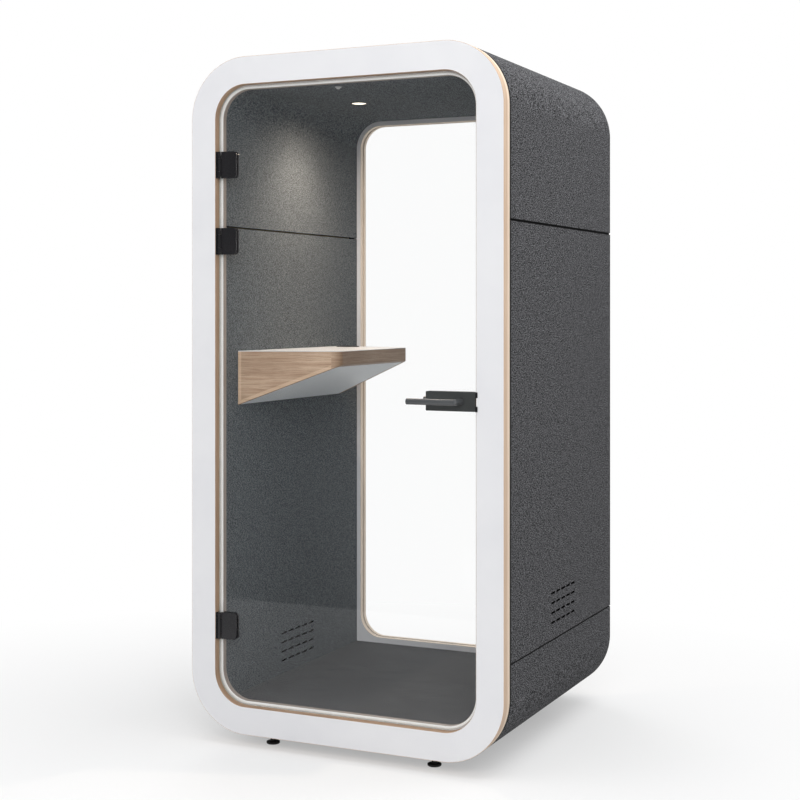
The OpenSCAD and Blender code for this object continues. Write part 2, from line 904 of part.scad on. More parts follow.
// Steel angles between the lining and the board
module desk_brackets() {
    top = desk_h - sheet_t - board_t;
    leg = desk_end_h * bracket_h_share;
    color(steel) place() for (k = bracket_share)
        translate([desk_x, desk_d + k * desk_l - bracket_w / 2, top]) {
            translate([0, 0, -leg]) cube([bracket_t, bracket_w, leg]);
            translate([0, 0, -bracket_t]) cube([desk_reach * bracket_reach_share, bracket_w, bracket_t]);
        }
}

module power_module() {
    color(black) place() power_place() difference() {
        union() {
            translate([0, 0, -power_deep]) cylinder(r = power_r - power_rim, h = power_deep + power_proud);
            translate([0, 0, -sheet_t]) cylinder(r = power_r, h = sheet_t + power_proud);
        }
        translate([0, 0, power_proud - socket_deep]) cylinder(r = socket_r, h = socket_deep + over);
    }
}

// Ceiling fittings, placed on the lining's underside
ceiling_h = frame_h - wall_t;
light_rim = 5;
light_proud = 1.5;
light_neck_t = 2;
light_neck_r = light_r + light_neck_t;
light_body_h = 40;
lens_t = 3;
sensor_base = 3;

module light_place() {
    translate([left + light_s, light_d, ceiling_h]) children();
}

module light_trim() {
    color(black) place() light_place() difference() {
        union() {
            translate([0, 0, -light_proud]) cylinder(r = light_r + light_rim, h = light_proud);
            translate([0, 0, -light_proud]) cylinder(r = light_neck_r, h = light_proud + liner_t);
        }
        translate([0, 0, -light_proud - over]) cylinder(r = light_r + seat_gap, h = liner_t + 3 * over + light_proud);
    }
}

module light_lens() {
    color("ivory") place() light_place() translate([0, 0, -light_proud / 2]) cylinder(r = light_r, h = lens_t);
}

module light_body() {
    color(steel) place() light_place() {
        translate([0, 0, liner_t]) cylinder(r = light_neck_r, h = light_body_h);
        translate([0, 0, lens_t - light_proud / 2]) cylinder(r = light_r - seat_gap, h = liner_t);
    }
}

module motion_sensor() {
    color(white) place() translate([left + sensor_s, sensor_d, ceiling_h]) intersection() {
        union() {
            sphere(sensor_r);
            translate([0, 0, -sensor_base / 2]) cylinder(r = sensor_r + sensor_base, h = sensor_base / 2);
        }
        translate([0, 0, -2 * sensor_r]) cylinder(r = 2 * sensor_r, h = 2 * sensor_r);
    }
}

// Mains inlet in the outer rear ring's lower right corner
inlet_x = 250;
inlet_size = [40, 26];
inlet_rim = 4;
inlet_plate_t = 3;
inlet_deep = rear_outer_t - seat_gap;
inlet_wall = 4;
inlet_hollow = 20;
inlet_pin = [2, 8, 4];
inlet_pin_gap = 7;

module inlet_place() {
    translate([inlet_x, pod_d - rear_recess, rear_margin / 2 + skin_t / 2]) children();
}

module inlet_pocket() {
    inlet_place() translate([-inlet_size[0] / 2, -inlet_deep - over, -inlet_size[1] / 2])
        cube([inlet_size[0], inlet_deep + 2 * over, inlet_size[1]]);
}

module power_inlet() {
    w = inlet_size[0] - 2 * seat_gap;
    h = inlet_size[1] - 2 * seat_gap;
    color(black) place() inlet_place() {
        difference() {
            union() {
                translate([-w / 2, -inlet_deep, -h / 2]) cube([w, inlet_deep, h]);
                translate([-w / 2 - inlet_rim, 0, -h / 2 - inlet_rim])
                    cube([w + 2 * inlet_rim, inlet_plate_t, h + 2 * inlet_rim]);
            }
            translate([inlet_wall - w / 2, inlet_plate_t - inlet_hollow, inlet_wall - h / 2])
                cube([w - 2 * inlet_wall, inlet_hollow + over, h - 2 * inlet_wall]);
        }
        for (k = [-1, 0, 1]) translate([k * inlet_pin_gap - inlet_pin[0] / 2, inlet_plate_t - inlet_hollow,
            (k == 0 ? 1 : -1) * inlet_pin[2] / 2 - inlet_pin[2] / 2]) cube(inlet_pin);
    }
}

// Levelling feet: a pad on the floor, a threaded stud into the joist and a lock nut at the base
stud_r = 5;
stud_gap = 0.5;
stud_in = 40;
pad_t = 9;
pad_edge = 2;
neck_r = 9;
neck_t = 5;
nut_t = 6;
nut_r = 9;
stud_sink = 4;

module foot_pads() {
    color(black) place() foot_places() difference() {
        translate([0, 0, -foot_h]) rotate_extrude() polygon([
            [0, 0],
            [pad_r - pad_edge, 0],
            [pad_r, pad_edge],
            [pad_r, pad_t - pad_edge],
            [neck_r, pad_t],
            [neck_r, pad_t + neck_t],
            [0, pad_t + neck_t]
        ]);
        translate([0, 0, -foot_h + pad_t + neck_t - stud_sink]) cylinder(r = stud_r + run_gap, h = foot_h);
    }
}

module foot_studs() {
    low = pad_t + neck_t - stud_sink - foot_h;
    color(steel) place() foot_places() translate([0, 0, low])
        cylinder(r = stud_r, h = skin_t + stud_in - low);
}

module foot_nuts() {
    color(steel) place() foot_places() difference() {
        translate([0, 0, -nut_t]) cylinder(r = nut_r, h = nut_t, $fn = 6);
        translate([0, 0, -nut_t - over]) cylinder(r = stud_r + run_gap, h = nut_t + 2 * over);
    }
}

front_ring();
stop_ring();
door_seal();
rear_inner_ring();
rear_outer_ring();
rear_glass();
glazing_tape();
base_cladding();
left_cladding();
right_cladding();
top_cladding();
joint_strips();
left_lining();
right_lining();
ceiling_lining();
floor_deck();
carpet();
floor_joists();
wall_studs();
roof_battens();
left_insulation();
right_insulation();
roof_insulation();
left_duct();
right_duct();
fan_frames();
front_fan_rotor();
rear_fan_rotor();
door_glass();
hinge_frame_leaves();
hinge_pins();
hinge_front_plates();
hinge_rear_plates();
clamp_screws();
lock_front_case();
lock_rear_case();
lock_core();
latch_bolt();
latch_spring();
outer_lever();
inner_lever();
lever_spindle();
strike_plate();
desk_top_sheet();
desk_board();
desk_front_end();
desk_rear_end();
desk_edge();
desk_underside();
desk_brackets();
power_module();
light_trim();
light_lens();
light_body();
motion_sensor();
power_inlet();
foot_pads();
foot_studs();
foot_nuts();
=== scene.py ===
import math

import bmesh
import bpy
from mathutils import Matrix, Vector


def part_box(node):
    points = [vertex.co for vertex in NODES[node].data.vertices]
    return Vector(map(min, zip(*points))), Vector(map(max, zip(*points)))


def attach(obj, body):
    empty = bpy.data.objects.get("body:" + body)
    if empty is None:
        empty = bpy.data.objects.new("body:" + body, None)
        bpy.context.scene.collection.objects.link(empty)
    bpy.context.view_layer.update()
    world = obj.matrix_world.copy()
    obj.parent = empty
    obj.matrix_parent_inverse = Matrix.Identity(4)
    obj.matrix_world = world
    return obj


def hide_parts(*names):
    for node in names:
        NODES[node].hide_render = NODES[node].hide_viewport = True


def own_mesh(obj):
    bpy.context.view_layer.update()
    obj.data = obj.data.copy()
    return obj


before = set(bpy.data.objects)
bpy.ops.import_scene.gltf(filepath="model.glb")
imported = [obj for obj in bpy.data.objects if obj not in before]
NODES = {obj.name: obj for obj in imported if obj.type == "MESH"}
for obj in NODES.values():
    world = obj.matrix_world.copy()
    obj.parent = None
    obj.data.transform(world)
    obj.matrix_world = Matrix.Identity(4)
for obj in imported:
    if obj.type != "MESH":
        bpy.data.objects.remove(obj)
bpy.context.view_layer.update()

# Camera: its place in metres, its turn in degrees and its lens in millimetres
CAMERA_PLACE = (2.1824, -4.7448, 1.4221)
CAMERA_TURN = 25
LENS = 68.15
FILM_WIDTH = 36
SHIFT_DOWN = -0.1144


def make_camera():
    """The photograph's camera: level, turned to the left, with the picture shifted down."""
    data = bpy.data.cameras.new("camera")
    data.lens = LENS
    data.sensor_width = FILM_WIDTH
    data.shift_y = SHIFT_DOWN
    camera = bpy.data.objects.new("camera", data)
    camera.location = CAMERA_PLACE
    camera.rotation_euler = (math.radians(90), 0, math.radians(CAMERA_TURN))
    bpy.context.scene.collection.objects.link(camera)
    bpy.context.scene.camera = camera


# Colours and shader nodes
def srgb(red, green, blue):
    """A colour as it looks on screen, 0 to 255, turned into Blender's linear colour."""
    def linear(level):
        level /= 255
        return level / 12.92 if level <= 0.04045 else ((level + 0.055) / 1.055) ** 2.4
    return (linear(red), linear(green), linear(blue), 1)


# Where most of a noise's values lie
NOISE_RANGE = (0.3, 0.7)


class Shader:
    """A material and short ways to add nodes to it."""

    def __init__(self, name):
        self.material = bpy.data.materials.new(name)
        self.material.use_nodes = True
        self.tree = self.material.node_tree
        self.surface = self.tree.nodes["Principled BSDF"]
        self.output = self.tree.nodes["Material Output"]

    def put(self, socket, value):
        """Links a socket to another one, or sets its value."""
        if isinstance(value, bpy.types.NodeSocket):
            self.tree.links.new(value, socket)
        else:
            socket.default_value = value

    def add(self, kind, sockets=None, **settings):
        """A new node, with its sockets and settings filled in."""
        node = self.tree.nodes.new("ShaderNode" + kind)
        for name, value in settings.items():
            setattr(node, name, value)
        for name, value in (sockets or {}).items():
            self.put(node.inputs[name], value)
        return node

    def place(self, scale=(1, 1, 1), source="Object", turn=(0, 0, 0)):
        """Coordinates in metres, stretched by scale: Object for places, UV for runs along a board."""
        coordinates = self.add("TexCoord").outputs[source]
        return self.add("Mapping", {"Vector": coordinates, "Scale": scale, "Rotation": turn}).outputs[0]

    def noise(self, vector, scale, detail=2, roughness=0.5):
        sockets = {"Vector": vector, "Scale": scale, "Detail": detail, "Roughness": roughness}
        return self.add("TexNoise", sockets).outputs["Fac"]

    def spread(self, value, low, high, new_low=0.0, new_high=1.0):
        """A value between low and high, mapped to between new_low and new_high."""
        node = self.add("MapRange")
        for index, number in enumerate((value, low, high, new_low, new_high)):
            self.put(node.inputs[index], number)
        return node.outputs[0]

    def math(self, operation, first, second=0.5):
        return self.add("Math", {0: first, 1: second}, operation=operation).outputs[0]

    def blend(self, share, first, second, mode="MIX"):
        """The first colour turned into the second by a share, or mixed with it in another mode. The node
        has its colours in inputs 6 and 7 and in output 2."""
        node = self.add("Mix", data_type="RGBA", blend_type=mode)
        self.put(node.inputs[0], share)
        self.put(node.inputs[6], first)
        self.put(node.inputs[7], second)
        return node.outputs[2]

    def bump(self, height, strength, distance):
        sockets = {"Height": height, "Strength": strength, "Distance": distance}
        self.put(self.surface.inputs["Normal"], self.add("Bump", sockets).outputs[0])

    def finish(self, **sockets):
        """Fills in the surface's sockets, named with underscores, and gives the material."""
        for name, value in sockets.items():
            self.put(self.surface.inputs[name.replace("_", " ")], value)
        return self.material


def laminate(name, tone, shade):
    """Matt laminate: nearly even, with a faint orange peel."""
    s = Shader(name)
    where = s.place()
    drift = s.spread(s.noise(where, 5, 3), *NOISE_RANGE)
    peel = s.noise(where, 700, 2)
    s.bump(peel, 0.05, 0.0004)
    rough = s.spread(s.noise(where, 40, 3), *NOISE_RANGE, 0.42, 0.52)
    return s.finish(Base_Color=s.blend(drift, shade, tone), Roughness=rough)


PLY_LAYER = 0.0028


def plywood(name, light, dark, glue):
    """A bare plywood edge: u runs along the edge and v across its layers, each PLY_LAYER thick."""
    s = Shader(name)
    across = s.add("SeparateXYZ", {0: s.place(source="UV")}).outputs["Y"]
    layer = s.math("SINE", s.math("MULTIPLY", across, math.pi / PLY_LAYER))
    streak = s.noise(s.place((18, 900, 1), "UV"), 1, 4, 0.6)
    flame = s.noise(s.place((3, 60, 1), "UV"), 1, 3, 0.6)
    grain = s.blend(s.spread(flame, 0.35, 0.65), light, dark)
    share = s.spread(layer, -1, 1, 0.0, 0.55)
    layered = s.blend(share, grain, dark)
    fine = s.blend(s.spread(streak, 0.5, 0.75, 0, 0.35), layered, glue)
    s.bump(streak, 0.12, 0.0006)
    rough = s.spread(streak, 0.2, 0.8, 0.45, 0.62)
    return s.finish(Base_Color=fine, Roughness=rough)


def oak(name, light, mid, dark, side_shade=None):
    """Light oak: u runs along the grain and v across it. A shade colour, where given, darkens it as
    painted shade where the mesh says so.
    """
    s = Shader(name)
    bend = s.noise(s.place((2.2, 9, 1), "UV"), 1, 2)
    waver = s.add("CombineXYZ", {"Y": s.math("MULTIPLY", bend, 5)}).outputs[0]
    bands = s.noise(s.add("VectorMath", {0: s.place((5, 120, 1), "UV"), 1: waver}).outputs[0], 1, 4, 0.65)
    lines = s.noise(s.add("VectorMath", {0: s.place((11, 420, 1), "UV"), 1: waver}).outputs[0], 1, 3, 0.6)
    pores = s.noise(s.place((45, 1500, 1), "UV"), 1, 3, 0.7)
    broad = s.noise(s.place((3, 14, 1), "UV"), 1, 2)
    tone = s.blend(s.spread(bands, 0.36, 0.64), light, mid)
    tone = s.blend(s.spread(broad, 0.4, 0.7, 0, 0.4), tone, dark)
    tone = s.blend(s.spread(lines, 0.54, 0.68, 0, 0.75), tone, dark)
    tone = s.blend(s.spread(pores, 0.56, 0.75, 0, 0.5), tone, dark)
    # Painted shade: the wood multiplied by a darker colour, as far as the mesh's attribute says
    if side_shade:
        shaded_tone = s.blend(1.0, tone, side_shade, "MULTIPLY")
        tone = s.blend(s.add("Attribute", attribute_name="side_shade").outputs["Fac"], tone, shaded_tone)
    s.bump(pores, 0.15, 0.0005)
    rough = s.spread(pores, *NOISE_RANGE, 0.42, 0.6)
    return s.finish(Base_Color=tone, Roughness=rough)


# Felt: how dark and wide the painted shade is where it turns in, and how its fibres and clouds join the
# specks of its grain
JOINT_SHADE_WIDTH = 0.0017
PAINTED_SHADE_SHARE = 0.92
PAINTED_SHADE_TONE = (16, 16, 16)
FIBRE_FINER = 2.2
FIBRE_SHARE = 0.45
CLOUD_COARSER = 0.22
CLOUD_SHARE = 0.15
GRAIN_MIDDLE = 0.805


def felt(name, dark, light, fleck, grain, blur, cover, rim, joints):
    """Pressed melange felt: a fine grain, drawn out along the pod, with pale flecks and broad clouds.
    grain is how often it repeats in a metre across, along and up, and a larger blur makes it fainter.
    It has painted shade where it turns in: a dark band at the cover's front rim, as wide as rim, and at
    the joints, each between the nodes below and above it."""
    s = Shader(name)
    speck = s.noise(s.place(grain), 1, 2, 0.5)
    fine = tuple(FIBRE_FINER * step for step in grain)
    fibre = s.noise(s.place(fine, turn=(0.3, 0.1, 0.1)), 1, 3, 0.6)
    coarse = tuple(CLOUD_COARSER * step for step in grain)
    cloud = s.noise(s.place(coarse), 1, 3, 0.55)
    mixed = s.math("ADD", speck, s.math("MULTIPLY", fibre, FIBRE_SHARE))
    mixed = s.math("ADD", mixed, s.math("MULTIPLY", cloud, CLOUD_SHARE))
    tone = s.blend(s.spread(mixed, GRAIN_MIDDLE - blur, GRAIN_MIDDLE + blur), dark, light)
    pale = s.math("MULTIPLY", s.spread(speck, 0.56, 0.7), s.spread(fibre, 0.5, 0.65))
    tone = s.blend(pale, tone, fleck)
    _, depth, height = s.add("SeparateXYZ", {0: s.place()}).outputs
    # Painted shade: dark bands along the front rim and beside each joint, where the felt's turned-in
    # edges lie in shade
    behind_front = s.math("SUBTRACT", depth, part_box(cover)[0].y)
    painted_shade = s.spread(behind_front, rim / 2, rim, PAINTED_SHADE_SHARE, 0.0)
    for below, above in joints:
        under = s.math("SUBTRACT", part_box(below)[1].z, height)
        over = s.math("SUBTRACT", height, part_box(above)[0].z)
        joint_shade = s.spread(s.math("MAXIMUM", under, over), JOINT_SHADE_WIDTH / 2, JOINT_SHADE_WIDTH, PAINTED_SHADE_SHARE, 0.0)
        painted_shade = s.math("MAXIMUM", painted_shade, joint_shade)
    tone = s.blend(painted_shade, tone, srgb(*PAINTED_SHADE_TONE))
    s.bump(mixed, 0.5, 0.0012)
    return s.finish(Base_Color=tone, Roughness=0.95, Sheen_Weight=0.04, Sheen_Roughness=0.5,
                    Specular_IOR_Level=0.05)


LOOPS_PER_METRE = 240.0


def carpet_pile(name, dark, light):
    """Low loop pile: small round loops over broad, faint bands of wear."""
    s = Shader(name)
    where = s.place()
    cell = s.add("TexVoronoi", {"Vector": where, "Scale": LOOPS_PER_METRE, "Randomness": 0.75})
    loop = s.spread(cell.outputs["Distance"], 0.0, 0.7, 1.0, 0.0)
    tuft = s.noise(where, 90, 3, 0.6)
    drift = s.noise(s.place((9, 16, 1)), 1, 4, 0.6)
    mixed = s.math("ADD", s.math("MULTIPLY", loop, 0.5), s.math("MULTIPLY", tuft, 0.5))
    mixed = s.math("ADD", mixed, s.math("MULTIPLY", drift, 0.5))
    s.bump(loop, 0.7, 0.002)
    return s.finish(Base_Color=s.blend(s.spread(mixed, 0.35, 1.2), dark, light), Roughness=0.97,
                    Sheen_Weight=0.15, Specular_IOR_Level=0.15)


ROUGHNESS_SWING = 0.06


def grained(name, tone, shade, scale, strength, roughness, metal=0.0, specular=0.5):
    """A moulded, coated or plated surface: an even tone with a fine grain at that scale."""
    s = Shader(name)
    where = s.place()
    drift = s.spread(s.noise(where, 12, 3), *NOISE_RANGE)
    spark = s.noise(where, scale, 3, 0.6)
    s.bump(spark, strength, 0.0004)
    rough = s.spread(spark, *NOISE_RANGE, roughness - ROUGHNESS_SWING, roughness + ROUGHNESS_SWING)
    return s.finish(Base_Color=s.blend(drift, shade, tone), Roughness=rough, Metallic=metal,
                    Specular_IOR_Level=specular)


def fibre_wool(name, dark, light):
    """Loose mineral wool in layers."""
    s = Shader(name)
    strands = s.noise(s.place((60, 60, 420)), 1, 6, 0.75)
    tufts = s.noise(s.place(), 45, 5, 0.7)
    mixed = s.math("ADD", s.math("MULTIPLY", strands, 0.6), s.math("MULTIPLY", tufts, 0.4))
    s.bump(mixed, 0.9, 0.006)
    return s.finish(Base_Color=s.blend(s.spread(mixed, 0.35, 0.65), dark, light), Roughness=1.0,
                    Sheen_Weight=0.3, Specular_IOR_Level=0.1)


def clear_glass(name, tint, gloss):
    """Clear laminated glass: what is behind it, and a reflection whose share is gloss where the glass is
    seen straight on, and grows at a slant."""
    s = Shader(name)
    smear = s.noise(s.place((3, 3, 1.4)), 3, 4, 0.6)
    film = s.spread(smear, 0.45, 0.8, 0.0, 0.035)
    clear = s.add("BsdfTransparent", {"Color": tint})
    mirror = s.add("BsdfGlossy", {"Color": (1, 1, 1, 1), "Roughness": film})
    slant = s.math("POWER", s.add("LayerWeight", {"Blend": 0.5}).outputs["Facing"], 5)
    share = s.math("ADD", s.math("MULTIPLY", slant, 1 - gloss), gloss)
    seen = s.add("MixShader", {0: share, 1: clear.outputs[0], 2: mirror.outputs[0]})
    rays = s.add("LightPath")
    lamp_ray = s.math("MAXIMUM", rays.outputs["Is Shadow Ray"], rays.outputs["Is Diffuse Ray"])
    open_way = s.add("BsdfTransparent")
    mixed = s.add("MixShader", {0: lamp_ray, 1: seen.outputs[0], 2: open_way.outputs[0]})
    s.put(s.output.inputs["Surface"], mixed.outputs[0])
    return s.material


def glass_arris(name):
    """The polished edge of the glass, faintly green and mostly clear."""
    s = Shader(name)
    drift = s.spread(s.noise(s.place(), 30, 3), *NOISE_RANGE)
    tone = s.blend(drift, srgb(196, 212, 206), srgb(220, 232, 226))
    return s.finish(Base_Color=tone, Roughness=0.12, Alpha=0.45)


LENS_GLOW = 2.6
LENS_RIM_GLOW = 0.7


def glowing_lens(name):
    """The opal lens of the lit downlight, brightest in its middle."""
    s = Shader(name)
    low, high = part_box("light_lens")
    centre = (low + high) / 2
    out = s.add("VectorMath", {0: s.place(), 1: centre}, operation="DISTANCE").outputs["Value"]
    glow = s.spread(out, 0.0, (high.x - low.x) / 2, LENS_GLOW, LENS_GLOW * LENS_RIM_GLOW)
    return s.finish(Base_Color=srgb(250, 244, 232), Roughness=0.6, Emission_Color=srgb(255, 244, 224),
                    Emission_Strength=glow)


# Looks
OAK = (srgb(206, 181, 156), srgb(180, 150, 126), srgb(130, 101, 80))
# Each look's name, what makes it, and what that is given
LOOK_LIST = (
    ("white_face", laminate, srgb(232, 232, 234), srgb(227, 227, 230)),
    # A lighter copy of the white face for the rear rings: painted light from behind the window
    ("rear_face", laminate, srgb(234, 234, 236), srgb(229, 229, 232)),
    ("ply_edge", plywood, srgb(218, 192, 166), srgb(203, 174, 148), srgb(168, 138, 112)),
    ("pale_ply", plywood, srgb(240, 220, 198), srgb(230, 206, 182), srgb(204, 176, 150)),
    # Darker copies of the ply for the inner edges of the front and stop rings: painted shade in the door
    # opening's recess
    ("brown_ply", plywood, srgb(196, 166, 140), srgb(168, 138, 112), srgb(114, 86, 64)),
    ("grey_ply", plywood, srgb(174, 162, 153), srgb(150, 138, 129), srgb(110, 97, 88)),
    # Paler ply for the rear rings' edges: painted light from behind the window
    ("rear_ply", plywood, srgb(250, 236, 220), srgb(242, 224, 204), srgb(216, 194, 170)),
    ("oak", oak, *OAK),
    # The user's edge: the same oak darkened by painted shade, full in its middle and fading out towards
    # the end boards
    ("oak_edge", oak, *OAK, srgb(220, 216, 211)),
    ("oak_strip", oak, srgb(216, 190, 165), srgb(204, 176, 149), srgb(178, 149, 123)),
    # Each felt's last three: the node whose front edge gets the painted shade band, that band's width,
    # and the joints with painted shade
    ("outer_felt", felt, srgb(23, 23, 24), srgb(105, 105, 108), srgb(169, 169, 172), (280, 155, 280),
     0.073, "base_cladding", 0.016,
     (("base_cladding", "right_cladding"), ("right_cladding", "top_cladding"))),
    ("inner_felt", felt, srgb(66, 70, 73), srgb(128, 133, 136), srgb(176, 180, 182), (360, 200, 360),
     0.09, "left_lining", 0.004, (("left_lining", "ceiling_lining"),)),
    ("carpet_pile", carpet_pile, srgb(18, 19, 21), srgb(88, 90, 93)),
    ("clear_glass", clear_glass, (0.998, 0.999, 0.999, 1), 0.0125),
    ("window_glass", clear_glass, (0.999, 1, 1, 1), 0.005),
    ("glass_arris", glass_arris),
    ("seal_rubber", grained, srgb(242, 242, 240), srgb(234, 234, 232), 300, 0.05, 0.45),
    ("black_rubber", grained, srgb(32, 32, 33), srgb(25, 25, 26), 500, 0.25, 0.7),
    ("grey_rubber", grained, srgb(112, 106, 100), srgb(102, 96, 91), 500, 0.2, 0.7),
    # Black for the joint strips, studs and battens, and painted shade on the felt's slot walls
    ("joint_black", grained, srgb(12, 12, 13), srgb(7, 7, 8), 400, 0.2, 0.9, 0.0, 0.1),
    ("satin_grey", grained, srgb(68, 70, 70), srgb(61, 63, 63), 1500, 0.12, 0.38),
    ("lever_grey", grained, srgb(84, 86, 88), srgb(76, 78, 80), 1500, 0.12, 0.33),
    ("satin_black", grained, srgb(41, 40, 42), srgb(35, 35, 37), 1500, 0.10, 0.25, 0.0, 0.35),
    ("black_plastic", grained, srgb(34, 34, 36), srgb(28, 28, 30), 900, 0.2, 0.5),
    ("deck_board", plywood, srgb(214, 184, 146), srgb(188, 156, 118), srgb(140, 108, 76)),
    ("frame_steel", grained, srgb(188, 190, 192), srgb(170, 172, 175), 260, 0.1, 0.35, 0.9),
    ("duct_sheet", grained, srgb(196, 198, 201), srgb(184, 186, 190), 90, 0.06, 0.4, 0.9),
    ("acoustic_wool", fibre_wool, srgb(150, 132, 84), srgb(206, 190, 134)),
    ("desk_white", laminate, srgb(225, 226, 227), srgb(219, 220, 222)),
    # A brighter, bluer copy of the desk's white for its underside: painted light where it lies in shade
    ("under_white", laminate, srgb(243, 247, 249), srgb(238, 243, 246)),
    ("grey_plastic", grained, srgb(214, 215, 216), srgb(204, 205, 206), 700, 0.1, 0.45),
    ("lamp_lens", glowing_lens),
)


# Meshes
SMOOTH_BELOW = math.radians(38)
BEVEL_ABOVE = math.radians(30)
BEVEL_STEPS = 2


def soften(piece, width=0.0, limit=BEVEL_ABOVE):
    """Rounds a piece's hard edges and keeps its flats even."""
    if width:
        bevel = piece.modifiers.new("soft_edges", "BEVEL")
        bevel.width = width
        bevel.segments = BEVEL_STEPS
        bevel.limit_method = "ANGLE"
        bevel.angle_limit = limit
    weighted = piece.modifiers.new("even_flats", "WEIGHTED_NORMAL")
    weighted.keep_sharp = True


def make_piece(name, points, faces, looks, body, stands_for, runs=None, side_shades=None):
    """A mesh piece. faces holds (corners, index of its look), stands_for the nodes that it replaces, runs
    each corner's (u, v) in metres, and stains how much painted shade darkens each point, 0 to 1."""
    mesh = bpy.data.meshes.new(name)
    mesh.from_pydata([tuple(p) for p in points], [], [corners for corners, _ in faces])
    for look in looks:
        mesh.materials.append(LOOKS[look])
    mesh.polygons.foreach_set("material_index", [look for _, look in faces])
    if runs:
        layer = mesh.uv_layers.new(name="runs")
        for place, run in zip(layer.data, [run for face in runs for run in face]):
            place.uv = run
    # Each point's share of painted shade
    if side_shades:
        layer = mesh.color_attributes.new("side_shade", "FLOAT_COLOR", "POINT")
        layer.data.foreach_set("color", [part for side_shade in side_shades for part in (side_shade, side_shade, side_shade, 1)])
    tidy = bmesh.new()
    tidy.from_mesh(mesh)
    bmesh.ops.recalc_face_normals(tidy, faces=tidy.faces)
    tidy.to_mesh(mesh)
    tidy.free()
    mesh.shade_smooth()
    mesh.set_sharp_from_angle(angle=SMOOTH_BELOW)
    piece = bpy.data.objects.new(name, mesh)
    bpy.context.scene.collection.objects.link(piece)
    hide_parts(*stands_for)
    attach(piece, body)
    return piece


def cut(piece, points, faces):
    """Cuts a closed solid out of a piece."""
    mesh = bpy.data.meshes.new("cutter")
    mesh.from_pydata(points, [], faces)
    cutter = bpy.data.objects.new("cutter", mesh)
    bpy.context.scene.collection.objects.link(cutter)
    hole = piece.modifiers.new("hole", "BOOLEAN")
    hole.operation = "DIFFERENCE"
    hole.solver = "EXACT"
    hole.object = cutter
    shown = piece.evaluated_get(bpy.context.evaluated_depsgraph_get())
    result = bpy.data.meshes.new_from_object(shown)
    piece.modifiers.remove(hole)
    bpy.data.objects.remove(cutter)
    piece.data = result


def round_cutter(centre, radius, low, high, steps):
    """Points and faces of an upright cylinder with that many sides."""
    turns = [2 * math.pi * i / steps for i in range(steps)]
    ring = [(centre[0] + radius * math.cos(a), centre[1] + radius * math.sin(a)) for a in turns]
    points = [(x, y, z) for z in (low, high) for x, y in ring]
    sides = [(i, (i + 1) % steps, steps + (i + 1) % steps, steps + i) for i in range(steps)]
    return points, sides + [tuple(reversed(range(steps))), tuple(range(steps, 2 * steps))]


def box_cutter(low, high):
    """Points and faces of a box."""
    points = [(x, y, z) for x in (low[0], high[0]) for y in (low[1], high[1]) for z in (low[2], high[2])]
    faces = [(0, 1, 3, 2), (4, 6, 7, 5), (0, 4, 5, 1), (2, 3, 7, 6), (0, 2, 6, 4), (1, 5, 7, 3)]
    return points, faces


# The rounded outline of the front view, and profiles carried along it. A soft end narrows in two
# steps, the first of them a share SOFT_START of the whole.
CORNER = 0.200
ARC_STEPS = 30
PROFILE_STEPS = 3
SOFT_START = 0.3
ring_low, ring_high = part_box("front_ring")
HALF_W = ring_high.x
BOTTOM, TOP = ring_low.z, ring_high.z


def station(centre_x, centre_z, angle, run):
    """A place on the outline: the corner's centre, the direction outward, and the run along it."""
    return (centre_x, centre_z, math.cos(angle), math.sin(angle), run)


def corner(side, end):
    """The stations of one corner: side -1 left or 1 right, end -1 bottom or 1 top, in turning order."""
    first = {(-1, -1): 180, (1, -1): 270, (1, 1): 0, (-1, 1): 90}[side, end]
    x = side * (HALF_W - CORNER)
    z = BOTTOM + CORNER if end < 0 else TOP - CORNER
    angles = [math.radians(first + 90 * i / ARC_STEPS) for i in range(ARC_STEPS + 1)]
    return [station(x, z, angle, 0) for angle in angles]


def measured(stations):
    """The same stations with the run along the outer edge filled in."""
    placed, run, last = [], 0, None
    for x, z, across, up, _ in stations:
        here = Vector((x + CORNER * across, z + CORNER * up))
        if last is not None:
            run += (here - last).length
        placed.append((x, z, across, up, run))
        last = here
    return placed


def whole_outline():
    """The stations of the closed outline, all the way round."""
    return measured(corner(-1, -1) + corner(1, -1) + corner(1, 1) + corner(-1, 1))


def outline_part(end, height, soft):
    """The outline's bottom (end -1) or top (end 1) from wall to wall, cut off at a height. The stations
    nearest to the cut leave room for the soft ends that sweep makes."""
    x = HALF_W - CORNER
    heights = [height, height + end * soft * SOFT_START, height + end * soft]
    first, last = (math.pi, 0) if end < 0 else (0, math.pi)
    start = [station(end * x, z, first, 0) for z in heights]
    finish = [station(-end * x, z, last, 0) for z in reversed(heights)]
    return measured(start + corner(end, end) + corner(-end, end) + finish)


def softened(corners):
    """The points and looks of a profile of (inset, y, radius, side look, corner look), with its corners
    rounded."""
    points, looks = [], []
    for i, (inset, y, radius, side, edge) in enumerate(corners):
        here = Vector((inset, y))
        before = (Vector(corners[i - 1][:2]) - here).normalized()
        after = (Vector(corners[(i + 1) % len(corners)][:2]) - here).normalized()
        if radius <= 0:
            points.append(here)
            looks.append(side)
            continue
        start, end = here + before * radius, here + after * radius
        for k in range(PROFILE_STEPS + 1):
            t = k / PROFILE_STEPS
            points.append((1 - t) ** 2 * start + 2 * t * (1 - t) * here + t * t * end)
            looks.append(edge if k < PROFILE_STEPS else side)
    return points, looks


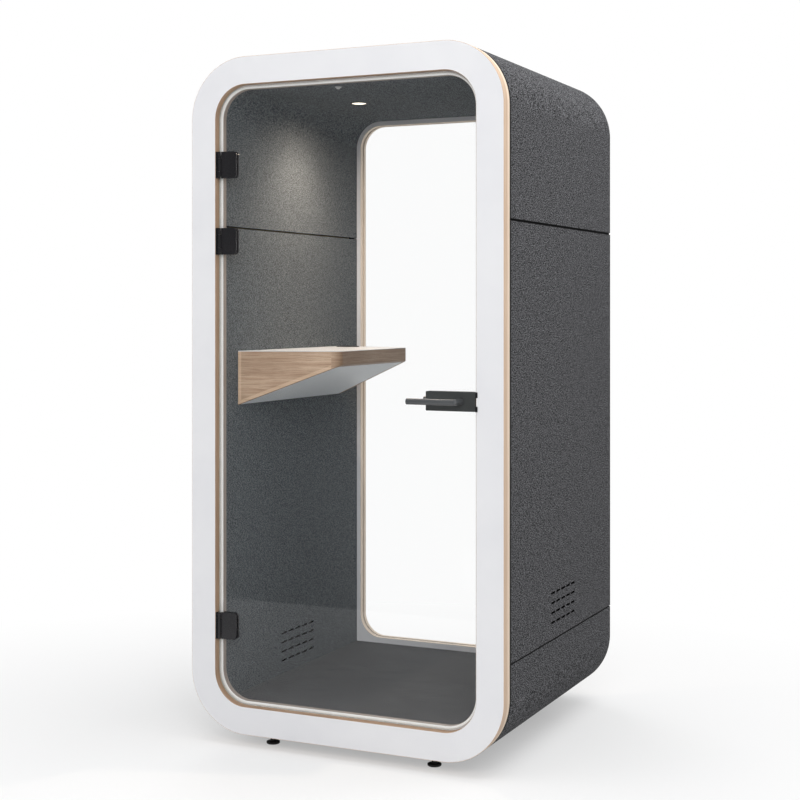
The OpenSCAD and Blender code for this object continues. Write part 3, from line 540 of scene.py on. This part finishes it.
def slab(inset_0, inset_1, y_0, y_1, radius, face, edge, inner_edge=None, inner_radius=None, bevel=None):
    """A ring's profile: front and back take the face look, and its edges the edge look. inner_edge is
    the look of the inner edge, and inner_radius and bevel are the size and look of the corner in front
    of it, where they differ."""
    inner_edge = edge if inner_edge is None else inner_edge
    inner_radius = radius if inner_radius is None else inner_radius
    bevel = edge if bevel is None else bevel
    return [(inset_0, y_0, radius, edge, edge), (inset_0, y_1, radius, face, edge),
            (inset_1, y_1, radius, inner_edge, inner_edge), (inset_1, y_0, inner_radius, face, bevel)]


def shrunk(points, by):
    """A profile drawn in on every side, towards its middle."""
    low = Vector((min(p.x for p in points), min(p.y for p in points)))
    high = Vector((max(p.x for p in points), max(p.y for p in points)))
    middle, half = (low + high) / 2, (high - low) / 2
    share = Vector((1 - by / half.x, 1 - by / half.y))
    return [Vector((middle.x + (p.x - middle.x) * share.x, middle.y + (p.y - middle.y) * share.y))
            for p in points]


def sweep(name, stations, corners, looks, node, soft=None):
    """Carries a profile along the outline, in place of a node of the pod. With soft it is an open run,
    which ends in caps with edges that soft."""
    closed = soft is None
    profile, sides = softened(corners)
    count = len(profile)
    around = [0.0]
    for i in range(count):
        around.append(around[-1] + (profile[(i + 1) % count] - profile[i]).length)
    last = len(stations) - 1
    narrowed = {}
    if not closed:
        narrowed[0] = narrowed[last] = shrunk(profile, soft)
        narrowed[1] = narrowed[last - 1] = shrunk(profile, soft * SOFT_START)
    points = []
    for i, (x, z, across, up, _) in enumerate(stations):
        for p in narrowed.get(i, profile):
            reach = CORNER - p.x
            points.append((x + reach * across, p.y, z + reach * up))
    faces, runs = [], []
    for i in range(len(stations) if closed else last):
        j = (i + 1) % len(stations)
        run_i, run_j = stations[i][4], stations[j][4]
        if j == 0:
            run_j = run_i + (Vector(points[0]) - Vector(points[i * count])).length
        for k in range(count):
            m = (k + 1) % count
            faces.append(((i * count + k, j * count + k, j * count + m, i * count + m), sides[k]))
            near, far = around[k], around[k + 1]
            runs.append([(run_i, near), (run_j, near), (run_j, far), (run_i, far)])
    if not closed:
        for first in (0, last * count):
            faces.append((tuple(range(first, first + count)), 0))
            runs.append([(p.x, p.y) for p in profile])
    return make_piece(name, points, faces, looks, "pod", [node], runs)


# Frame and shell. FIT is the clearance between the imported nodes.
FIT = 0.00025
RING_W = 0.090
STOP_IN = 0.103
ARRIS = 0.0012
STOP_ARRIS = 0.7 * ARRIS
CHAMFER = 0.0009
SEAL_W = 0.008
SEAL_LIP = 0.0018
SEAL_EDGE = 0.0004
SEAL_NOSE = 0.0012
SEAL_SLANT = 0.28
SKIN = 0.012
FELT_SOFT = 0.0025
SHELL_EDGE = 0.6 * FELT_SOFT
LINING_EDGE = 0.3 * FELT_SOFT
REAR_MARGIN = 0.115
REAR_IN = SKIN + FIT
GLASS_GRIP = 0.014
GRIP_ROOM = 0.001
INLET_FLANGE = 0.004
STUD_R = 0.005
STUD_ROOM = 0.0005
STUD_HOLE_SIDES = 24
LIGHT_HOLE_R = 0.02675
LIGHT_HOLE_SIDES = 48
CUT_PAST = 0.01


def make_front_frame():
    """The front ring, the stop ring that the door closes on, and the door's seal."""
    low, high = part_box("front_ring")
    # Its inner edge and the corner in front of it take a darker ply, as painted shade
    ring = sweep("front_ring_board", whole_outline(),
                 slab(0, RING_W, low.y, high.y, ARRIS, 0, 1, inner_edge=2, inner_radius=CHAMFER, bevel=2),
                 ["white_face", "ply_edge", "brown_ply"], "front_ring")
    soften(ring)
    low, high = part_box("stop_ring")
    # Its inner edge and inner front corner take a greyer, darker ply, as painted shade
    stop = sweep("stop_ring_board", whole_outline(),
                 slab(0, STOP_IN, low.y, high.y, STOP_ARRIS, 0, 1, inner_edge=2, bevel=2),
                 ["white_face", "pale_ply", "grey_ply"], "stop_ring")
    soften(stop)
    low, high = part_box("door_seal")
    outer = HALF_W - high.x
    inner = outer + SEAL_W
    bead = [(outer, high.y, SEAL_EDGE), (inner, high.y, SEAL_EDGE), (inner, high.y - SEAL_LIP, SEAL_EDGE),
            (outer + SEAL_W * (1 - SEAL_SLANT), low.y, SEAL_NOSE),
            (outer + SEAL_W * SEAL_SLANT, low.y, SEAL_NOSE), (outer, high.y - SEAL_LIP, SEAL_EDGE)]
    seal = sweep("door_seal_bead", whole_outline(), [(*place, 0, 0) for place in bead],
                 ["seal_rubber"], "door_seal")
    soften(seal)


def make_rear_frame():
    """The two rear rings round the window, and the pocket for the mains inlet in the outer one."""
    low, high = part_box("rear_inner_ring")
    # Both rear rings take the lighter copies of face and ply, as painted light from behind
    inner = sweep("rear_inner_ring_board", whole_outline(),
                  slab(REAR_IN, REAR_MARGIN, low.y, high.y, ARRIS, 0, 1),
                  ["rear_face", "rear_ply"], "rear_inner_ring")
    soften(inner)
    low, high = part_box("rear_outer_ring")
    step = REAR_MARGIN - GLASS_GRIP - GRIP_ROOM
    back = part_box("rear_glass")[1].y + FIT
    corners = [(REAR_IN, low.y, ARRIS, 1, 1), (REAR_IN, high.y, ARRIS, 0, 1),
               (REAR_MARGIN, high.y, ARRIS, 1, 1), (REAR_MARGIN, back, 0, 1, 1),
               (step, back, 0, 1, 1), (step, low.y, 0, 0, 1)]
    outer = sweep("rear_outer_ring_board", whole_outline(), corners,
                  ["rear_face", "rear_ply"], "rear_outer_ring")
    inlet_low, inlet_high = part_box("power_inlet")
    rim = INLET_FLANGE
    cut(outer, *box_cutter((inlet_low.x + rim, low.y - rim, inlet_low.z + rim),
                           (inlet_high.x - rim, high.y + rim, inlet_high.z - rim)))
    soften(outer)


def make_cladding():
    """The curved base and top of the felt cladding; its flat sides stay as packed."""
    low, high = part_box("base_cladding")
    base = sweep("base_cladding_shell", outline_part(-1, high.z, FELT_SOFT),
                 slab(0, SKIN, low.y, high.y, SHELL_EDGE, 0, 0),
                 ["outer_felt"], "base_cladding", FELT_SOFT)
    stud_low, stud_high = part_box("foot_studs")
    for x in (stud_low.x + STUD_R, stud_high.x - STUD_R):
        for y in (stud_low.y + STUD_R, stud_high.y - STUD_R):
            cut(base, *round_cutter((x, y), STUD_R + STUD_ROOM, low.z - SKIN, low.z + 2 * SKIN,
                                    STUD_HOLE_SIDES))
    soften(base)
    low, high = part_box("top_cladding")
    top = sweep("top_cladding_shell", outline_part(1, low.z, FELT_SOFT),
                slab(0, SKIN, low.y, high.y, SHELL_EDGE, 0, 0),
                ["outer_felt"], "top_cladding", FELT_SOFT)
    soften(top)


def make_ceiling():
    """The lining's curved top, with the hole for the downlight."""
    low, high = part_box("ceiling_lining")
    outer = HALF_W - high.x
    inner = HALF_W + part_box("left_lining")[1].x
    ceiling = sweep("ceiling_lining_shell", outline_part(1, low.z, FELT_SOFT),
                    slab(outer, inner, low.y, high.y, LINING_EDGE, 0, 0),
                    ["inner_felt"], "ceiling_lining", FELT_SOFT)
    light_low, light_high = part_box("light_lens")
    cut(ceiling, *round_cutter((light_low + light_high) / 2, LIGHT_HOLE_R, light_low.z - CUT_PAST,
                               high.z + CUT_PAST, LIGHT_HOLE_SIDES))
    soften(ceiling)


# Floor: the rim's drop is counted in rises of the pile
PILE_STEP = 0.0075
PILE_RISE = 0.0007
RIM_DROP = 3
# Each wave's turns across and along in radians per metre, and where it starts
PILE_WAVES = ((410, 90, 0.3), (-170, 380, 1.1), (260, -300, 2.0), (57, 74, 0.7))


def ripple(x, y):
    """A small uneven rise of the pile, -1 to 1, from a few crossing waves."""
    return sum(math.sin(a * x + b * y + c) for a, b, c in PILE_WAVES) / len(PILE_WAVES)


def make_carpet():
    """The carpet's sheet with an uneven pile and a lower rim."""
    low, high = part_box("carpet")
    xs = math.ceil((high.x - low.x) / PILE_STEP)
    ys = math.ceil((high.y - low.y) / PILE_STEP)
    points, faces = [], []
    for j in range(ys + 1):
        for i in range(xs + 1):
            x = low.x + (high.x - low.x) * i / xs
            y = low.y + (high.y - low.y) * j / ys
            at_rim = i in (0, xs) or j in (0, ys)
            drop = RIM_DROP if at_rim else 1 + ripple(x, y)
            points.append((x, y, high.z - PILE_RISE * drop))
    row = xs + 1
    for j in range(ys):
        for i in range(xs):
            a = j * row + i
            faces.append(((a, a + 1, a + row + 1, a + row), 0))
    rim = list(range(xs + 1)) + [j * row + xs for j in range(1, ys + 1)]
    rim += [ys * row + i for i in range(xs - 1, -1, -1)] + [j * row for j in range(ys - 1, 0, -1)]
    first = len(points)
    points += [(points[i][0], points[i][1], low.z) for i in rim]
    for k, i in enumerate(rim):
        n = (k + 1) % len(rim)
        faces.append(((i, first + k, first + n, rim[n]), 0))
    faces.append((tuple(range(first, first + len(rim))), 0))
    carpet = make_piece("carpet_pile", points, faces, ["carpet_pile"], "pod", ["carpet"])
    soften(carpet)


# Desk
DESK_REACH = 0.330
DESK_TAPER = 0.110
DESK_SLOPE = DESK_TAPER / DESK_REACH
DESK_END_H = 0.180
DESK_EDGE_H = 0.047
DESK_CORNER = 0.030
FASCIA = 0.015
STRIP = 0.011
STRIP_BELOW = 1.1 * STRIP
DESK_SOFT = 0.0012
DESK_SOFT_ABOVE = math.radians(50)
DESK_ARC = 12
SIDE_SHADE_FADE = 0.032
INSIDE_RUN = 0.02
TOLERANCE = 0.000001


def desk_plan(inset):
    """The front half of the desk's plan, drawn in by an inset: (p, y) points from the wall, along the
    front end and round the corner to the user's edge. p is out from the wall, and y from the middle."""
    low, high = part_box("desk_top_sheet")
    slant = math.hypot(1, DESK_SLOPE)
    radius = DESK_CORNER - inset
    middle = DESK_REACH - inset - radius
    half = (high.y - low.y) / 2
    across = half - middle * DESK_SLOPE - (inset + radius) * slant
    turn = math.pi / 2 - math.atan(DESK_SLOPE)
    arc = [-turn + turn * i / DESK_ARC for i in range(DESK_ARC + 1)]
    rounded = [(middle + radius * math.cos(a), -(across - radius * math.sin(a))) for a in arc]
    return [(0, -(half - inset * slant))] + rounded


def mirrored(line):
    """The same line in the rear half of the desk's plan."""
    return [(p, -y) for p, y in line]


def desk_bottom(p):
    """Height of the desk's slanted underside at p from the wall, with 0 at its top."""
    return (DESK_END_H - DESK_EDGE_H) * p / DESK_REACH - DESK_END_H


def fascia(name, outer, inner, looks, node, strips):
    """A board that stands between two lines of the desk's plan, from its underside to its top sheet.
    strips splits off lighter borders at the wall and the underside. At each place along it the points
    go down outside, with the border's line between top and bottom, and up again inside."""
    low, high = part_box("desk_top_sheet")
    base = Vector((low.x, (low.y + high.y) / 2, high.z))
    top = low.z - high.z
    run, points, along = 0, [], []
    for i, ((p, y), (inner_p, inner_y)) in enumerate(zip(outer, inner)):
        if i:
            run += math.dist(outer[i - 1], (p, y))
        along.append(run)
        bottom = desk_bottom(p)
        between = bottom + STRIP_BELOW if strips else (top + bottom) / 2
        points += [base + Vector((p, y, z)) for z in (top, between, bottom)]
        points += [base + Vector((inner_p, inner_y, z)) for z in (desk_bottom(inner_p), top)]
    count = len(points) // len(outer)
    faces, runs = [], []
    for i in range(len(outer) - 1):
        for k in range(count):
            m = (k + 1) % count
            corners = (i * count + k, (i + 1) * count + k, (i + 1) * count + m, i * count + m)
            below = k == 1
            at_wall = k == 0 and along[i + 1] <= STRIP + TOLERANCE
            faces.append((corners, 1 if strips and (below or at_wall) else 0))
            depth = INSIDE_RUN if k >= 3 else 0
            ends = (along[i], along[i + 1], along[i + 1], along[i])
            runs.append([(end, points[index].z + depth) for end, index in zip(ends, corners)])
    for first in (0, (len(outer) - 1) * count):
        faces.append((tuple(range(first, first + count)), 0))
        runs.append([(points[first + k].x, points[first + k].z) for k in range(count)])
    # Painted shade along the board, which only the edge's oak uses: none at its two ends, full a short
    # way in
    side_shades = [min(1, min(here, run - here) / SIDE_SHADE_FADE) for here in along for _ in range(count)]
    piece = make_piece(name, points, faces, looks, "pod", [node], runs, side_shades)
    soften(piece, DESK_SOFT, DESK_SOFT_ABOVE)


def at_share(a, b, share):
    """The place a share of the way from a to b."""
    return (a[0] + (b[0] - a[0]) * share, a[1] + (b[1] - a[1]) * share)


def make_desk():
    """The desk's two ends with their border strips, and the user's edge with round corners."""
    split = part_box("desk_front_end")[1].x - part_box("desk_top_sheet")[0].x
    plans = desk_plan(0), desk_plan(FASCIA)
    ends = [at_share(plan[0], plan[1], split / plan[1][0]) for plan in plans]
    share = STRIP / math.dist(plans[0][0], ends[0])
    lines = [[plan[0], at_share(plan[0], end, share), end] for plan, end in zip(plans, ends)]
    fascia("desk_front_end_board", *lines, ["oak", "oak_strip"], "desk_front_end", True)
    fascia("desk_rear_end_board", *map(mirrored, lines), ["oak", "oak_strip"], "desk_rear_end", True)
    halves = [[end] + plan[1:] for plan, end in zip(plans, ends)]
    edges = [half + mirrored(reversed(half)) for half in halves]
    fascia("desk_edge_board", *edges, ["oak_edge"], "desk_edge", False)


# Lock
SPRING_TURNS = 8
SPRING_WIRE = 0.0008
SPRING_STEPS = 24
WIRE_SIDES = 8


def make_latch_spring():
    """The spring behind the latch: a wound wire, built as one still coil; the real one shortens as the
    latch slides back onto it.
    """
    low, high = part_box("latch_spring")
    middle = (low + high) / 2
    wire = SPRING_WIRE / 2
    radius = (high.y - low.y) / 2 - wire
    length = high.x - low.x - SPRING_WIRE
    points, faces = [], []
    count = SPRING_TURNS * SPRING_STEPS
    for i in range(count + 1):
        turn = 2 * math.pi * i / SPRING_STEPS
        x = low.x + wire + length * i / count
        for k in range(WIRE_SIDES):
            around = 2 * math.pi * k / WIRE_SIDES
            reach = radius + wire * math.cos(around)
            points.append((x + wire * math.sin(around), middle.y + reach * math.cos(turn),
                           middle.z + reach * math.sin(turn)))
    for i in range(count):
        for k in range(WIRE_SIDES):
            m = (k + 1) % WIRE_SIDES
            a, b = i * WIRE_SIDES, (i + 1) * WIRE_SIDES
            faces.append(((a + k, b + k, b + m, a + m), 0))
    for first in (0, count * WIRE_SIDES):
        faces.append((tuple(range(first, first + WIRE_SIDES)), 0))
    spring = make_piece("latch_spring_coil", points, faces, ["frame_steel"], "door",
                        ["latch_spring"])
    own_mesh(spring)


# Nodes that stay as packed
WELD_REACH = 0.00001
FLAT_BELOW = math.radians(1)


def dress(node, look, width):
    """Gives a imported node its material, and rounds its hard edges."""
    piece = NODES[node]
    piece.data.materials.clear()
    piece.data.materials.append(LOOKS[look])
    piece.data.polygons.foreach_set("material_index", [0] * len(piece.data.polygons))
    weld = piece.modifiers.new("join_corners", "WELD")
    weld.merge_threshold = WELD_REACH
    flat = piece.modifiers.new("join_flats", "DECIMATE")
    flat.decimate_type = "DISSOLVE"
    flat.angle_limit = FLAT_BELOW
    soften(piece, width)


RIM_DEPTH = 0.010
# A polygon lies in the flat face of a panel, or of the glass, where its normal, which is 1 long, points
# out of that face by more than this
PANEL_FACE = 0.5
GLASS_FACE = 0.9


def paint_slot_shade(node):
    """Paints the walls of a felt panel's air slots black, as painted shade inside the slots: the polygons
    inside its rim that face along the panel."""
    piece = NODES[node]
    piece.data.materials.append(LOOKS["joint_black"])
    low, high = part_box(node)
    for polygon in piece.data.polygons:
        x, y, z = polygon.center
        inside = low.y + RIM_DEPTH < y < high.y - RIM_DEPTH and low.z + RIM_DEPTH < z < high.z - RIM_DEPTH
        if inside and abs(polygon.normal.x) < PANEL_FACE:
            polygon.material_index = 1


def dress_glass(node, look):
    """Makes the glass clear, and greenish at its edges."""
    piece = NODES[node]
    piece.data.materials.clear()
    piece.data.materials.append(LOOKS[look])
    piece.data.materials.append(LOOKS["glass_arris"])
    for polygon in piece.data.polygons:
        polygon.material_index = 0 if abs(polygon.normal.y) > GLASS_FACE else 1


# Each node's look, and how far its edges are rounded
KEPT = {
    "glazing_tape": ("grey_rubber", 0), "left_cladding": ("outer_felt", 0.0012),
    "right_cladding": ("outer_felt", 0.0012), "joint_strips": ("joint_black", 0.0003),
    "left_lining": ("inner_felt", 0.001), "right_lining": ("inner_felt", 0.001),
    "floor_deck": ("deck_board", 0.0005), "floor_joists": ("frame_steel", 0.001),
    "wall_studs": ("joint_black", 0.001), "roof_battens": ("joint_black", 0.001),
    "left_insulation": ("acoustic_wool", 0.004), "right_insulation": ("acoustic_wool", 0.004),
    "roof_insulation": ("acoustic_wool", 0.004), "left_duct": ("duct_sheet", 0.0006),
    "right_duct": ("duct_sheet", 0.0006), "fan_frames": ("black_plastic", 0.0006),
    "front_fan_rotor": ("black_plastic", 0.0004), "rear_fan_rotor": ("black_plastic", 0.0004),
    "hinge_frame_leaves": ("satin_black", 0.0005), "hinge_pins": ("frame_steel", 0.0003),
    "hinge_front_plates": ("satin_black", 0.0014), "hinge_rear_plates": ("satin_black", 0.0009),
    "clamp_screws": ("frame_steel", 0.0003), "lock_front_case": ("satin_grey", 0.0009),
    "lock_rear_case": ("satin_grey", 0.0009), "lock_core": ("frame_steel", 0.0003),
    "latch_bolt": ("frame_steel", 0.0004),
    "outer_lever": ("lever_grey", 0.001), "inner_lever": ("lever_grey", 0.001),
    "lever_spindle": ("frame_steel", 0.0004), "strike_plate": ("satin_black", 0.0003),
    "desk_top_sheet": ("desk_white", 0.0003), "desk_board": ("deck_board", 0.0003),
    "desk_underside": ("under_white", 0.0005), "desk_brackets": ("frame_steel", 0.0006),
    "power_module": ("black_plastic", 0.0006), "light_trim": ("satin_black", 0.0004),
    "light_lens": ("lamp_lens", 0.0004), "light_body": ("duct_sheet", 0.0006),
    "motion_sensor": ("grey_plastic", 0.0003), "power_inlet": ("black_plastic", 0.0006),
    "foot_pads": ("black_rubber", 0.0006), "foot_studs": ("frame_steel", 0.0005),
    "foot_nuts": ("frame_steel", 0.0005),
}


# Studio: up to FLOOR_CLEAR from its middle the floor has a share FLOOR_LIFT of plain white, and it is
# all white from FLOOR_FADE on
FLOOR_SIZE = 40
FLOOR_MIDDLE = (0.0, -0.55, 0.0)
FLOOR_CLEAR = 0.9
FLOOR_FADE = 2.6
FLOOR_LIFT = 0.4
FLOOR_PALE = (235, 235, 235), (238, 238, 238)
FLOOR_BOUNCE = (206, 206, 206)
DARK_WALL_Y = -2.62
DARK_WALL_HALF = 9
DARK_WALL_TONE = (34, 36, 38)


def make_dark_wall():
    """A dark wall in front of the pod, which only gloss sees. Its foot makes the line in the door's
    glass."""
    mesh = bpy.data.meshes.new("dark_wall")
    half, y = DARK_WALL_HALF, DARK_WALL_Y
    mesh.from_pydata([(-half, y, 0), (half, y, 0), (half, y, half), (-half, y, half)], [], [(0, 1, 2, 3)])
    s = Shader("dark_wall_paint")
    shade = s.add("Emission", {"Color": srgb(*DARK_WALL_TONE), "Strength": 1.0})
    s.put(s.output.inputs["Surface"], shade.outputs[0])
    mesh.materials.append(s.material)
    wall = bpy.data.objects.new("dark_wall", mesh)
    for ray in ("camera", "diffuse", "transmission", "shadow", "volume_scatter"):
        setattr(wall, "visible_" + ray, False)
    bpy.context.scene.collection.objects.link(wall)


def make_floor():
    """A pale floor that shows the pod's shadow near it, and turns into the white background farther
    out. What it throws back onto the pod comes from a greyer tone than the one that is seen."""
    half = FLOOR_SIZE / 2
    mesh = bpy.data.meshes.new("studio_floor")
    mesh.from_pydata([(-half, -half, 0), (half, -half, 0), (half, half, 0), (-half, half, 0)], [],
                     [(0, 1, 2, 3)])
    s = Shader("floor_paint")
    where = s.place()
    away = s.add("VectorMath", {0: where, 1: FLOOR_MIDDLE}, operation="DISTANCE").outputs["Value"]
    far = s.spread(away, FLOOR_CLEAR, FLOOR_FADE, FLOOR_LIFT, 1.0)
    rays = s.add("LightPath")
    seen = s.math("MAXIMUM", rays.outputs["Is Camera Ray"], rays.outputs["Is Glossy Ray"])
    seen = s.math("MAXIMUM", seen, rays.outputs["Is Transmission Ray"])
    pale = s.blend(s.noise(where, 60, 3), *(srgb(*tone) for tone in FLOOR_PALE))
    s.finish(Base_Color=s.blend(seen, srgb(*FLOOR_BOUNCE), pale), Roughness=0.9, Specular_IOR_Level=0.0)
    white = s.add("Emission", {"Color": (1, 1, 1, 1), "Strength": 1.0})
    mixed = s.add("MixShader", {0: s.math("MULTIPLY", far, seen), 1: s.surface.outputs[0],
                                2: white.outputs[0]})
    s.put(s.output.inputs["Surface"], mixed.outputs[0])
    mesh.materials.append(s.material)
    floor = bpy.data.objects.new("studio_floor", mesh)
    bpy.context.scene.collection.objects.link(floor)


WORLD_LIGHT = 0.50
WORLD_TINT = (0.98, 0.988, 1.0, 1)


def make_world():
    """White where the camera, gloss and glass see it, and a soft even light otherwise."""
    world = bpy.data.worlds.new("studio")
    bpy.context.scene.world = world
    world.use_nodes = True
    tree = world.node_tree
    tree.nodes.clear()
    rays = tree.nodes.new("ShaderNodeLightPath")
    seen = rays.outputs["Is Camera Ray"]
    for name in ("Is Glossy Ray", "Is Transmission Ray"):
        most = tree.nodes.new("ShaderNodeMath")
        most.operation = "MAXIMUM"
        tree.links.new(seen, most.inputs[0])
        tree.links.new(rays.outputs[name], most.inputs[1])
        seen = most.outputs[0]
    light = tree.nodes.new("ShaderNodeBackground")
    light.inputs["Color"].default_value = WORLD_TINT
    light.inputs["Strength"].default_value = WORLD_LIGHT
    white = tree.nodes.new("ShaderNodeBackground")
    white.inputs["Color"].default_value = (1, 1, 1, 1)
    white.inputs["Strength"].default_value = 1.0
    mix = tree.nodes.new("ShaderNodeMixShader")
    out = tree.nodes.new("ShaderNodeOutputWorld")
    tree.links.new(seen, mix.inputs[0])
    tree.links.new(light.outputs[0], mix.inputs[1])
    tree.links.new(white.outputs[0], mix.inputs[2])
    tree.links.new(mix.outputs[0], out.inputs[0])


def area_lamp(name, place, target, size, power):
    """A large soft lamp that faces a target."""
    data = bpy.data.lights.new(name, "AREA")
    data.shape = "SQUARE"
    data.size = size
    data.energy = power
    lamp = bpy.data.objects.new(name, data)
    lamp.location = place
    lamp.rotation_euler = (Vector(target) - Vector(place)).to_track_quat("-Z", "Y").to_euler()
    lamp.visible_camera = False
    lamp.visible_glossy = False
    bpy.context.scene.collection.objects.link(lamp)


POD_MIDDLE = (0, 0, 1.1)
ROOF_EDGE = (0.45, 0, 2.15)
# Each soft lamp's name, place, target, width in metres and power in watts
SOFT_LAMPS = (
    ("key", (2.6, -5.2, 3.4), POD_MIDDLE, 3.0, 146.0),
    ("left", (-4.2, -3.6, 2.8), POD_MIDDLE, 3.0, 46.0),
    ("side", (3.2, 0.3, 4.0), POD_MIDDLE, 2.0, 12.0),
    ("roof", (1.7, 0.1, 3.5), ROOF_EDGE, 1.2, 18.0),
    ("above", (0.6, -0.6, 5.4), POD_MIDDLE, 4.0, 98.0),
    ("back", (-3.5, 4.5, 3.0), POD_MIDDLE, 3.0, 100.0),
)
# The two parts of the downlight: power in watts, and in degrees its cone and its turn to the wall
DOWNLIGHT = (("beam", 12.5, 104, 13), ("glow", 16.5, 172, 0))
DOWNLIGHT_TONE = (1.0, 0.84, 0.69)
DOWNLIGHT_R = 0.02
LENS_CLEAR = 0.004


def make_lamps():
    """Soft studio light from the front, the right, above and behind, and the pod's own downlight."""
    for lamp in SOFT_LAMPS:
        area_lamp(*lamp)
    low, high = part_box("light_lens")
    centre = (low + high) / 2
    for name, power, cone, turn in DOWNLIGHT:
        data = bpy.data.lights.new(name, "SPOT")
        data.energy = power
        data.color = DOWNLIGHT_TONE
        data.spot_size = math.radians(cone)
        data.spot_blend = 1.0
        data.shadow_soft_size = DOWNLIGHT_R
        lamp = bpy.data.objects.new(name, data)
        lamp.location = (centre.x, centre.y, low.z - LENS_CLEAR)
        lamp.rotation_euler = (0, math.radians(turn), 0)
        bpy.context.scene.collection.objects.link(lamp)


# The scene
make_camera()
LOOKS = {name: make(name, *given) for name, make, *given in LOOK_LIST}
make_front_frame()
make_rear_frame()
make_cladding()
make_ceiling()
make_carpet()
make_desk()
make_latch_spring()
for node, (look, width) in KEPT.items():
    dress(node, look, width)
for node in ("left_cladding", "right_cladding", "left_lining", "right_lining"):
    paint_slot_shade(node)
dress_glass("door_glass", "clear_glass")
dress_glass("rear_glass", "window_glass")
make_floor()
make_dark_wall()
make_world()
make_lamps()

bpy.context.scene.view_settings.view_transform = "Standard"
